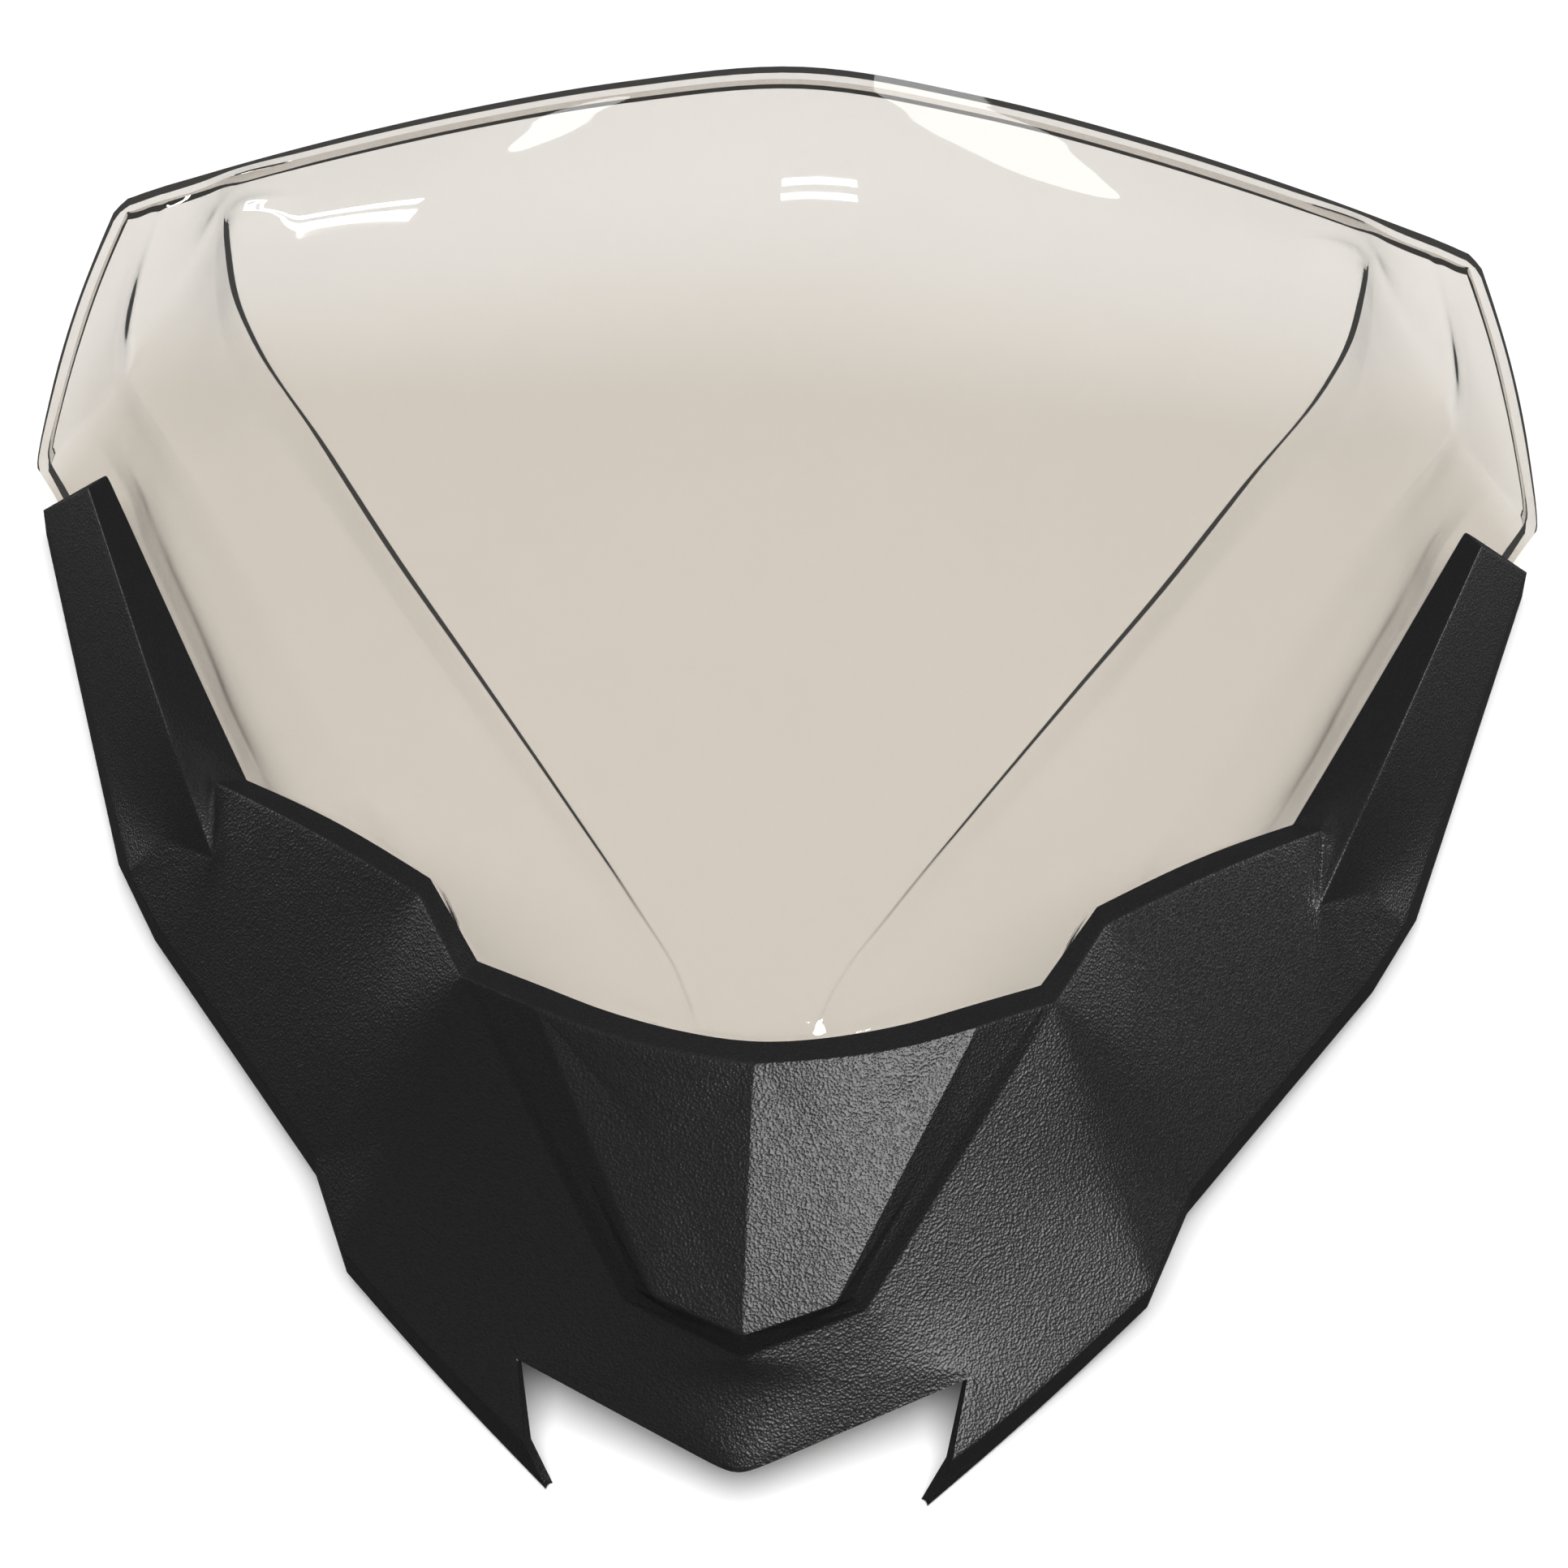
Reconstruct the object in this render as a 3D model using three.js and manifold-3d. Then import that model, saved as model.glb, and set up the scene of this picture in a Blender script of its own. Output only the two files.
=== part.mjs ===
// Two-piece windshield: a tinted clear screen held in a black moulded lower shell.
// Millimetres, +Z up, +Y from the nose to the top edge, +X to the right.
// The part lies with its outer (convex) face up, on the lower edge of the shell.
// Outlines are given for the right half, with y measured from the nose datum, and mirrored.
import * as THREE from 'three';
import { mergeVertices } from 'three/addons/utils/BufferGeometryUtils.js';
import Module from 'manifold-3d';

const wasm = await Module();
wasm.setup();

// ---------------------------------------------------------------- driving dimensions
const NOSE_TO_MIDDLE = 282;      // from the nose datum to the middle of the length
const LIFT = 0.5;                // raises the lowest edge of the shell onto the resting plane
const GAP = 0.3;                 // between touching pieces
const ROUND = 16;                // sides of a turned piece

// The two mouldings.
const SHELL_THICKNESS = 3;
const SCREEN_THICKNESS = 4;
const SCREEN_DEPTH = 6.2;        // from the cover's outer face to the tucked screen
const EDGE_BEAD_DEPTH = 5;       // the bead that stiffens the free edge, below the sheet
const EDGE_BEAD_WIDTH = 5.5;
const MITRE_LIMIT = 1.8;         // longest mitred corner, in thicknesses
const MITRE_PASSES = 60;

// Foam strips between the two, along the rim of the shell.
const GASKET_THICKNESS = 1.5;
const GASKET_WIDTH = 6;
const GASKET_INSET = 4;          // from the rim crest to the gasket
const CENTRE_GASKET_LINE = [
  [-48, 129], [-41, 126], [-20, 122], [0, 118], [20, 122], [41, 126], [48, 129],
];
const WING_GASKET_LINE = [
  [103, 165], [114, 184], [128, 195], [142, 205.5], [156, 216.5], [170, 226], [182, 234.5],
];

// Screws that clamp the screen to bosses inside the shell, by their places in the plan.
const CLAMP_POINTS = {
  nose: [25, 99],
  block: [44, 109],
  wing: [144, 185.5],
  fork_root: [222, 264],
  fork_tip: [276, 372],
};
const SCREW_RADIUS = 2;
const SCREW_POINT = 1;           // length of the bevelled tip
const SCREW_HEAD_RADIUS = 4.4;
const SCREW_HEAD_HEIGHT = 2.6;
const SCREW_CROWN = 0.7;         // flat part of the head, as a share of its radius
const WASHER_RADIUS = 7;
const WASHER_THICKNESS = 1.2;
const BOSS_RADIUS = 5;
const PILOT_RADIUS = 2.35;
const PILOT_END = 4.2;           // from the end of the pilot hole to the outer face
const SCREEN_HOLE_RADIUS = 5.6;
const SCREEN_HOLE_REACH = [-12, 4];
const SKIN_OVER_BOSSES = 1.6;    // height of shell skin left above what is moulded inside
const TRIM_HEIGHT = 160;         // above everything
const CUT = 1;                   // how far a cutting tool stands out of what it cuts

// Moulded pads under the nose, which stand on the machine's hood.
const PAD_POINT = [100, 80];
const PAD_RADIUS = 7;
const PAD_FACE = 14;

// Plates under the wings, each on two posts, with a quarter-turn stud in a grommet.
const POST_POINTS = [[147, 150], [176, 186]];
const POST_RADIUS = 6;
const POST_PILOT_DEPTH = 9;
const PLATE_TOP = 27;
const PLATE_THICKNESS = 2.5;
const PLATE_HALF_WIDTH = 10;
const PLATE_OVERHANG = 10;
const PLATE_SCREW_REACH = 8;
const GROMMET_HOLE_RADIUS = 6.6;
const GROMMET_FLANGE_RADIUS = 8.8;
const GROMMET_FLANGE = 2;
const SLEEVE_RADIUS = 4.6;
const STUD_RADIUS = 3.2;
const STUD_HEAD_RADIUS = 7;
const STUD_HEAD_HEIGHT = 4;
const STUD_BEVEL = 1;
const STUD_LENGTH_BELOW = 15;
const STUD_SLOT_WIDTH = 2;
const STUD_SLOT_DEPTH = 1.5;
const CROSS_PIN_RADIUS = 1.25;
const CROSS_PIN_HALF_LENGTH = 6.5;
const CROSS_PIN_FROM_TIP = 4;

// ---------------------------------------------------------------- materials
const COLOURS = {
  tint: { color: 0xd6cdc4, roughness: 0.05, metalness: 0 },
  plastic: { color: 0x1c1b1c, roughness: 0.55, metalness: 0 },
  foam: { color: 0x101010, roughness: 0.95, metalness: 0 },
  rubber: { color: 0x181818, roughness: 0.85, metalness: 0 },
  steel: { color: 0xb4b6b8, roughness: 0.35, metalness: 1 },
  blackSteel: { color: 0x2b2c2e, roughness: 0.5, metalness: 0.6 },
};

function finish(name) {
  return new THREE.MeshStandardMaterial(COLOURS[name]);
}

// ---------------------------------------------------------------- the lower shell's outer face
// Corners of the moulded cover. The middle ones lie on the symmetry plane.
const CORNER = {
  rimCentre: [0, 118, 108],
  rimBow: [41, 126, 104.5],
  blockCrestTop: [70, 138, 101.5],
  blockCorner: [95, 150, 98],
  rimStep: [114, 184, 92],
  rimMiddle: [156, 216.5, 79],
  forkRootInner: [197.9, 245.4, 63],
  forkRootRidge: [196.6, 220.2, 51.5],
  forkRidgeLow: [211.2, 250.3, 70],
  forkRidgeMiddle: [231.7, 294, 67.7],
  forkRidgeHigh: [253.8, 341.7, 61.4],
  forkTipRidge: [276.8, 391, 54],
  forkTipInner: [276.7, 411, 40],
  forkTipOuter: [309.5, 413, 14],
  forkRootOuter: [234.9, 231.2, 22],
  wingLower: [219.5, 208, 22],
  wingLowerB: [196.8, 179.7, 23.3],
  wingLowerA: [172, 148.7, 24.7],
  waistUpper: [148.6, 119.5, 26],
  waistLower: [134.8, 87, 22],
  prongOuter: [97.3, 52, 15],
  prongInner: [68.5, 28, 14],
  notch: [72, 49, 32],
  noseLip: [0, 19, 17],
  blockFootOuter: [38, 63.5, 50],
  blockFootCentre: [0, 47, 47],
  blockCrestFoot: [28.4, 61.4, 58],
  blockRidgeFoot: [0, 50.5, 56],
  grooveMiddle: [58, 94, 66.8],
};

// The rim turns back towards the screen, and the lower edge turns down as a flange.
const RIM_RETURN = {
  rimCentre: [0, 127.5, 103.5],
  rimBow: [39, 136, 100],
  blockCrestTop: [66.5, 147.5, 96.8],
  blockCorner: [91.5, 159, 93],
  rimStep: [112, 194, 86.5],
  rimMiddle: [150.5, 225, 73.5],
  forkRootInner: [189, 251.5, 56.5],
};
const FLANGE_FOOT = {
  forkTipOuter: [311, 411, 1],
  forkRootOuter: [244.4, 243.6, 8],
  wingLower: [224.4, 211.5, 8],
  wingLowerB: [200.5, 181.7, 9.3],
  wingLowerA: [174.3, 149.2, 10.7],
  waistUpper: [149.7, 118.5, 12],
  waistLower: [134.8, 85.5, 8],
  prongOuter: [99, 51.5, 1],
  prongInner: [61.5, 18, 0],
};

const RIM_CHAIN = Object.keys(RIM_RETURN);
const FLANGE_CHAIN = Object.keys(FLANGE_FOOT);

// Faces of the cover, each counter-clockwise from above on the right half.
const COVER_FACES = [
  ['blockRidgeFoot', 'blockCrestFoot', 'blockCrestTop', 'rimBow', 'rimCentre'],
  ['blockCrestFoot', 'blockFootOuter', 'grooveMiddle', 'blockCorner', 'blockCrestTop'],
  ['blockFootCentre', 'blockFootOuter', 'blockCrestFoot', 'blockRidgeFoot'],
  ['noseLip', 'notch', 'blockFootOuter', 'blockFootCentre'],
  ['prongInner', 'prongOuter', 'notch'],
  ['notch', 'prongOuter', 'blockFootOuter'],
  ['blockFootOuter', 'prongOuter', 'waistLower', 'grooveMiddle'],
  ['grooveMiddle', 'waistLower', 'waistUpper', 'blockCorner'],
  ['blockCorner', 'waistUpper', 'wingLowerA', 'rimStep'],
  ['rimStep', 'wingLowerA', 'wingLowerB', 'rimMiddle'],
  ['rimMiddle', 'wingLowerB', 'forkRootRidge', 'forkRootInner'],
  ['wingLowerB', 'wingLower', 'forkRootRidge'],
  ['forkRootRidge', 'wingLower', 'forkRootOuter'],
  ['forkRootOuter', 'forkRidgeMiddle', 'forkRidgeLow', 'forkRootRidge'],
  ['forkRootOuter', 'forkTipOuter', 'forkRidgeMiddle'],
  ['forkTipOuter', 'forkTipRidge', 'forkRidgeHigh', 'forkRidgeMiddle'],
  ['forkRootInner', 'forkRootRidge', 'forkRidgeLow'],
  ['forkRootInner', 'forkRidgeLow', 'forkRidgeMiddle', 'forkRidgeHigh', 'forkTipRidge'],
  ['forkTipRidge', 'forkTipOuter', 'forkTipInner'],
];

// ---------------------------------------------------------------- small mesh tools
function vec(point) {
  return new THREE.Vector3(...point);
}

function lerp(a, b, t) {
  return vec(a).lerp(vec(b), t).toArray();
}

function mirror(point) {
  return [-point[0], point[1], point[2]];
}

// A list of polygons for one half, joined to its mirror image.
function bothHalves(polygons) {
  return [...polygons, ...polygons.map((polygon) => polygon.map(mirror).reverse())];
}

function fanTriangles(polygons) {
  const triangles = [];
  for (const polygon of polygons) {
    for (let i = 1; i + 1 < polygon.length; i += 1) {
      triangles.push([polygon[0], polygon[i], polygon[i + 1]]);
    }
  }
  return triangles;
}

function geometryFrom(triangles) {
  const positions = [];
  for (const triangle of triangles) {
    for (const point of triangle) positions.push(...point);
  }
  const geometry = new THREE.BufferGeometry();
  geometry.setAttribute('position', new THREE.Float32BufferAttribute(positions, 3));
  return geometry;
}

function toManifold(geometry) {
  const bare = geometry.clone();
  bare.deleteAttribute('normal');
  bare.deleteAttribute('uv');
  const merged = mergeVertices(bare, 1e-4);
  const vertProperties = new Float32Array(merged.attributes.position.array);
  const triVerts = new Uint32Array(merged.index.array);
  return new wasm.Manifold(new wasm.Mesh({ numProp: 3, vertProperties, triVerts }));
}

function toGeometry(manifold) {
  const mesh = manifold.getMesh();
  const geometry = new THREE.BufferGeometry();
  const positions = new Float32Array(mesh.vertProperties);
  geometry.setAttribute('position', new THREE.BufferAttribute(positions, 3));
  geometry.setIndex(new THREE.BufferAttribute(new Uint32Array(mesh.triVerts), 1));
  const split = geometry.toNonIndexed();
  split.computeVertexNormals();
  return split;
}

function key(point) {
  return point.map((value) => Math.round(value * 1000)).join(' ');
}

// The shift that lies the same depth below every face that meets at a vertex: each pass takes away
// half of what each face still misses.
function mitredShift(normals, depth) {
  const blend = new THREE.Vector3();
  for (const normal of normals) blend.add(normal);
  blend.normalize();
  const shift = blend.clone().multiplyScalar(-depth);
  for (let pass = 0; pass < MITRE_PASSES; pass += 1) {
    for (const normal of normals) {
      const miss = -depth - shift.dot(normal);
      shift.addScaledVector(normal, miss * 0.5);
    }
  }
  return shift.clampLength(0, depth * MITRE_LIMIT);
}

function faceNormal([a, b, c]) {
  const u = vec(b).sub(vec(a));
  const v = vec(c).sub(vec(a));
  return u.cross(v).normalize();
}

// Closes an open sheet of triangles into a solid: under gives the far point of each vertex.
function closeSheet(triangles, under) {
  const normalsAt = new Map();
  const edges = new Map();
  for (const triangle of triangles) {
    const normal = faceNormal(triangle);
    triangle.forEach((point, i) => {
      const name = key(point);
      if (!normalsAt.has(name)) normalsAt.set(name, []);
      normalsAt.get(name).push(normal);
      const next = triangle[(i + 1) % 3];
      const back = `${key(next)}|${name}`;
      if (edges.has(back)) edges.delete(back);
      else edges.set(`${name}|${key(next)}`, [point, next]);
    });
  }
  const far = (point) => under(point, normalsAt.get(key(point)));
  const solid = [...triangles];
  for (const [a, b, c] of triangles) solid.push([far(c), far(b), far(a)]);
  for (const [a, b] of edges.values()) {
    solid.push([b, a, far(a)]);
    solid.push([b, far(a), far(b)]);
  }
  return geometryFrom(solid);
}

function thicken(triangles, depth) {
  return closeSheet(triangles, (point, normals) => {
    const shift = mitredShift(normals, depth);
    return vec(point).add(shift).toArray();
  });
}

// ---------------------------------------------------------------- the cover as a height map
const COVER_TRIANGLES = bothHalves(
  fanTriangles(COVER_FACES.map((face) => face.map((name) => CORNER[name]))),
);

const SMALLEST_AREA = 1e-3;      // in the plan, so that upright triangles are passed over

// The triangle of a sheet that lies over a point of the plan, or the nearest one, and its height there.
function sheetAt(triangles, x, y) {
  let best = { inside: -Infinity };
  for (const triangle of triangles) {
    const [a, b, c] = triangle;
    const area = (b[0] - a[0]) * (c[1] - a[1]) - (c[0] - a[0]) * (b[1] - a[1]);
    if (area < SMALLEST_AREA) continue;
    const s = ((x - a[0]) * (c[1] - a[1]) - (c[0] - a[0]) * (y - a[1])) / area;
    const t = ((b[0] - a[0]) * (y - a[1]) - (x - a[0]) * (b[1] - a[1])) / area;
    const inside = Math.min(s, t, 1 - s - t);
    if (inside > best.inside) {
      const z = a[2] + s * (b[2] - a[2]) + t * (c[2] - a[2]);
      best = { inside, z, normal: faceNormal(triangle) };
    }
  }
  return best;
}

// A point a given depth below the cover, measured square to its face.
function underCover([x, y], depth) {
  const { z, normal } = sheetAt(COVER_TRIANGLES, x, y);
  return [x, y, z - depth / Math.abs(normal.z)];
}

// Everything above the middle of the cover's skin: it trims what is moulded onto the inside.
function roofBlock() {
  const heights = new Map();
  const planKey = ([x, y]) => key([x, y, 0]);
  for (const triangle of COVER_TRIANGLES) {
    for (const point of triangle) heights.set(planKey(point), point[2] - SKIN_OVER_BOSSES);
  }
  const lid = COVER_TRIANGLES.map((triangle) => triangle.map(([x, y]) => [x, y, TRIM_HEIGHT]));
  return closeSheet(lid, (point) => [point[0], point[1], heights.get(planKey(point))]);
}

const ROOF = toManifold(roofBlock());

// ---------------------------------------------------------------- lower shell
function shellSkin() {
  const faces = COVER_FACES.map((face) => face.map((name) => CORNER[name]));
  for (let i = 0; i + 1 < RIM_CHAIN.length; i += 1) {
    const [a, b] = [RIM_CHAIN[i], RIM_CHAIN[i + 1]];
    faces.push([CORNER[a], CORNER[b], RIM_RETURN[b], RIM_RETURN[a]]);
  }
  const root = 'forkRootInner';
  faces.push([CORNER[root], CORNER.forkTipRidge, CORNER.forkTipInner, RIM_RETURN[root]]);
  for (let i = 0; i + 1 < FLANGE_CHAIN.length; i += 1) {
    const [a, b] = [FLANGE_CHAIN[i], FLANGE_CHAIN[i + 1]];
    faces.push([CORNER[a], CORNER[b], FLANGE_FOOT[b], FLANGE_FOOT[a]]);
  }
  return thicken(bothHalves(fanTriangles(faces)), SHELL_THICKNESS);
}

// ---------------------------------------------------------------- tinted screen
// Feature lines of one half of the screen, from the hidden lower end up to the top edge:
// the middle, the crease of the raised centre panel, the foot of its wall, the side ridge,
// the top and the foot of the joggle beside the fork, and the outer edge.
const HIDDEN_END = {
  centre: [0, 88], crease: [15, 89.5], foot: [18, 90], bay: [[64, 118], [104, 136], [131, 170]],
  ridge: [147, 181], facet: [168, 194], joggleTop: [194, 213], joggleFoot: [203, 218],
  edge: [219, 226],
};
const UNDER_CREST = {
  centre: [0, 118.2], crease: [17, 121.7], foot: [20, 122.3],
  bay: [[60, 133.6], [94.5, 149.4], [114.3, 183]],
  ridge: [131, 196.4], facet: [156, 215.8], joggleTop: [184, 235], joggleFoot: [196.8, 242.6],
  edge: [227, 235],
};
const BEHIND_RIM = {
  centre: [0, 127.5, 99.3], crease: [17, 129.5, 98.8], foot: [21, 130.5, 98],
  bay: [[58, 142.5, 94.6], [92, 159, 90.3], [112, 194, 84]],
  ridge: [128, 207, 77.5], facet: [150.5, 225, 69], joggleTop: [178, 243, 57],
  joggleFoot: [186.5, 249, 50.5], edge: [229.7, 239.4, 16.5],
};
// The open rows, from the rim to the top edge: centre, crease and foot of the panel, side ridge,
// top and foot of the joggle, and edge.
const OPEN_ROWS = [
  [
    [0, 146, 105], [25, 148, 104], [28.5, 147, 101], [142, 229, 80],
    [184, 254, 58.3], [191.5, 257, 51], [233, 248, 16],
  ],
  [
    [0, 171, 109], [42, 175, 106], [46, 174, 101], [156, 254, 80],
    [192, 268, 58], [199, 271, 50], [240, 264, 16],
  ],
  [
    [0, 207, 115.5], [68, 213, 108], [72.5, 211, 99.8], [170, 278, 79.5],
    [202, 286, 57.3], [209, 289, 48.8], [247.5, 283, 16],
  ],
  [
    [0, 256, 123.5], [103, 263, 110.5], [107.5, 259, 98.7], [182, 299, 78.5],
    [212, 306, 56.4], [219, 308, 47], [255, 302, 16],
  ],
  [
    [0, 307, 130.5], [138, 313, 112], [142, 308, 98], [198, 326, 76.5],
    [223, 327, 55.2], [230, 328, 45], [263, 322, 16],
  ],
  [
    [0, 360, 137], [172, 365, 113.5], [177, 358, 97.5], [214.5, 353, 74],
    [234.5, 348, 53.6], [241.5, 349, 43.2], [272, 344, 16],
  ],
  [
    [0, 412, 142], [205, 415, 114], [212, 406, 98], [236, 388, 71.5],
    [248, 374, 51], [255, 374, 40], [283, 371, 16],
  ],
  [
    [0, 440, 144.5], [217, 440, 114], [224.5, 434, 100], [250, 409, 69.5],
    [262, 402, 47.5], [271.5, 409.5, 36], [303, 415, 12.5],
  ],
  [
    [0, 470, 147], [225, 467, 113], [231, 463, 103.5], [262, 427, 67.5],
    [268.5, 413, 47], [279, 420, 37], [306.5, 421.5, 12],
  ],
  [
    [0, 497, 148.6], [229.5, 488, 112], [234, 487, 107], [270, 441, 66],
    [281, 439, 54.5], [293, 436.5, 41.5], [315, 432, 19],
  ],
  [
    [0, 511, 149.2], [231, 498, 111], [235, 497.5, 108], [272.5, 459, 72],
    [282.5, 459, 62], [293, 459, 52.5], [309.5, 458, 40],
  ],
  [
    [0, 523, 149.6], [232.2, 506, 110], [235.6, 505.8, 108.6], [271, 482, 81],
    [280, 483, 74], [288, 483.5, 69], [300.5, 484, 61],
  ],
  [
    [0, 535, 149.9], [233.3, 514, 109], [236.2, 513.8, 108.2], [266.5, 504, 90],
    [275, 504.5, 85.5], [281.5, 505, 82], [291.5, 505, 76.5],
  ],
  [
    [0, 546, 150], [234, 521, 108], [236.6, 520.9, 107.6], [262, 520.4, 97.5],
    [271, 520.3, 93.7], [277, 520.2, 91], [284, 520, 88],
  ],
];
const FREE_SIDE_ROWS = 7;        // the rows whose edge is free, from the fork tip to the top
const PANEL_STEPS = [0.3, 0.6, 0.85];
const PANEL_SWEEP = 1.25;        // how late the panel's points leave the middle, in the plan
const PANEL_CROWN = 1.6;         // and in height
const BAY_STEPS = [0.3, 0.6, 0.82];
const BAY_SAG = 3;
const BAY_FLAT_ROWS = 5;         // over these last rows the sag fades out

// Points across the raised panel, crowned from the middle to its crease.
function panelRow(centre, crease) {
  return PANEL_STEPS.map((t) => [
    crease[0] * t,
    centre[1] + (crease[1] - centre[1]) * t ** PANEL_SWEEP,
    centre[2] + (crease[2] - centre[2]) * t ** PANEL_CROWN,
  ]);
}

function openRow([centre, crease, foot, ridge, joggleTop, joggleFoot, edge], index) {
  const sag = BAY_SAG * Math.min(1, (OPEN_ROWS.length - 1 - index) / BAY_FLAT_ROWS);
  const bay = BAY_STEPS.map((t) => {
    const point = lerp(foot, ridge, t);
    point[2] -= sag * 4 * t * (1 - t);
    return point;
  });
  const facet = lerp(ridge, joggleTop, 0.5);
  const panel = panelRow(centre, crease);
  const bead = beadLine(joggleFoot, edge);
  return [centre, ...panel, crease, foot, ...bay, ridge, facet, joggleTop, joggleFoot, bead, edge];
}

// The inner border of the edge bead, a fixed width inside the edge.
function beadLine(inner, edge) {
  const width = vec(inner).distanceTo(vec(edge));
  return lerp(edge, inner, EDGE_BEAD_WIDTH / width);
}

function hiddenRow(plan) {
  const sink = (point) => underCover(point, SCREEN_DEPTH);
  const { bay, ridge, facet, joggleTop, joggleFoot } = plan;
  const middle = sink(plan.centre);
  const crease = sink(plan.crease);
  const edge = sink(plan.edge);
  const foot = sink(joggleFoot);
  const side = [...bay, ridge, facet, joggleTop].map(sink);
  const panel = PANEL_STEPS.map((t) => lerp(middle, crease, t));
  return [middle, ...panel, crease, sink(plan.foot), ...side, foot, beadLine(foot, edge), edge];
}

function behindRimRow(row) {
  const { centre, crease, foot, bay, ridge, facet, joggleTop, joggleFoot, edge } = row;
  const panel = PANEL_STEPS.map((t) => lerp(centre, crease, t));
  const bead = beadLine(joggleFoot, edge);
  return [centre, ...panel, crease, foot, ...bay, ridge, facet, joggleTop, joggleFoot, bead, edge];
}

function screenRows() {
  const open = OPEN_ROWS.map(openRow);
  const top = open.pop();
  const below = open[open.length - 1];
  const bead = top.map((point, i) => beadLine(below[i], point));
  const tucked = [hiddenRow(HIDDEN_END), hiddenRow(UNDER_CREST), behindRimRow(BEHIND_RIM)];
  return [...tucked, ...open, bead, top];
}

const SCREEN_ROWS = screenRows();

function screenTriangles() {
  const polygons = [];
  for (let r = 0; r + 1 < SCREEN_ROWS.length; r += 1) {
    const [low, high] = [SCREEN_ROWS[r], SCREEN_ROWS[r + 1]];
    for (let c = 0; c + 1 < low.length; c += 1) {
      polygons.push([low[c], low[c + 1], high[c + 1]]);
      polygons.push([low[c], high[c + 1], high[c]]);
    }
  }
  return bothHalves(polygons);
}

const SCREEN_TRIANGLES = screenTriangles();

// The free edge carries the bead: from the fork tip round the top.
function isFreeEdge([x, y, z]) {
  const side = SCREEN_ROWS.slice(-FREE_SIDE_ROWS).map((row) => row[row.length - 1]);
  const freeEdge = [...side, ...SCREEN_ROWS[SCREEN_ROWS.length - 1]];
  const onTheRight = key([Math.abs(x), y, z]);
  return freeEdge.some((other) => key(other) === onTheRight);
}

function screenSheet() {
  return closeSheet(SCREEN_TRIANGLES, (point, normals) => {
    const shift = mitredShift(normals, SCREEN_THICKNESS);
    if (isFreeEdge(point)) shift.z -= EDGE_BEAD_DEPTH;
    return vec(point).add(shift).toArray();
  });
}

// ---------------------------------------------------------------- placing things on the sheets
// Distance along a direction to the cover's outer face.
function reachToCover(origin, direction) {
  const ray = new THREE.Ray(vec(origin), direction);
  const hit = new THREE.Vector3();
  let reach = Infinity;
  for (const [a, b, c] of COVER_TRIANGLES) {
    if (ray.intersectTriangle(vec(a), vec(b), vec(c), false, hit)) {
      reach = Math.min(reach, hit.distanceTo(ray.origin));
    }
  }
  return reach;
}

// ---------------------------------------------------------------- clamp screws
// The place of a screw: on the screen's outer face, with the axis square to it.
function clampPlace([x, y]) {
  const { z, normal: axis } = sheetAt(SCREEN_TRIANGLES, x, y);
  const origin = vec([x, y, z]);
  return { origin, axis, reach: reachToCover([x, y, z], axis) };
}

const UP = new THREE.Vector3(0, 0, 1);

// A turned piece: radii against height, closed on its axis, moved onto a place.
function turned(profile, place) {
  const points = profile.map(([r, z]) => new THREE.Vector2(r, z));
  const geometry = new THREE.LatheGeometry(points, ROUND);
  geometry.rotateX(Math.PI / 2);
  if (place) {
    geometry.applyQuaternion(new THREE.Quaternion().setFromUnitVectors(UP, place.axis));
    geometry.translate(place.origin.x, place.origin.y, place.origin.z);
  }
  return geometry;
}

function rod(radius, low, high, place) {
  return turned([[0, low], [radius, low], [radius, high], [0, high]], place);
}

function ring(inner, outer, low, high, place) {
  return turned([[inner, low], [outer, low], [outer, high], [inner, high], [inner, low]], place);
}

const UNDERSIDE = -SCREEN_THICKNESS;
const WASHER_TOP = UNDERSIDE - GAP;
const HEAD_TOP = WASHER_TOP - WASHER_THICKNESS - GAP;

// A round-headed screw standing on its head, with a bevelled tip.
function screw(headTop, tip, place) {
  const low = headTop - SCREW_HEAD_HEIGHT;
  return turned([
    [0, low],
    [SCREW_HEAD_RADIUS * SCREW_CROWN, low],
    [SCREW_HEAD_RADIUS, low + SCREW_POINT],
    [SCREW_HEAD_RADIUS, headTop],
    [SCREW_RADIUS, headTop],
    [SCREW_RADIUS, tip - SCREW_POINT],
    [SCREW_RADIUS / 2, tip],
    [0, tip],
  ], place);
}

function clampScrew(place) {
  return screw(HEAD_TOP, place.reach - PILOT_END - 2 * GAP, place);
}

function clampWasher(place) {
  return ring(PILOT_RADIUS, WASHER_RADIUS, WASHER_TOP - WASHER_THICKNESS, WASHER_TOP, place);
}

function clampBoss(place) {
  return rod(BOSS_RADIUS, UNDERSIDE + GAP, place.reach + BOSS_RADIUS, place);
}

function clampPilot(place) {
  return rod(PILOT_RADIUS, UNDERSIDE - CUT, place.reach - PILOT_END, place);
}

function clampHole(place) {
  return rod(SCREEN_HOLE_RADIUS, ...SCREEN_HOLE_REACH, place);
}

function mirroredPlace({ origin, axis, reach }) {
  const flip = new THREE.Vector3(-1, 1, 1);
  return { origin: origin.clone().multiply(flip), axis: axis.clone().multiply(flip), reach };
}

const CLAMPS = [];
for (const [name, point] of Object.entries(CLAMP_POINTS)) {
  const place = clampPlace(point);
  CLAMPS.push({ name: `${name}_right`, place });
  CLAMPS.push({ name: `${name}_left`, place: mirroredPlace(place) });
}

// ---------------------------------------------------------------- rest pads
function restPad() {
  const [x, y] = PAD_POINT;
  const high = sheetAt(COVER_TRIANGLES, x, y).z + PAD_RADIUS;
  return rod(PAD_RADIUS, PAD_FACE, high, uprightPlace(x, y, 0));
}

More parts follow.
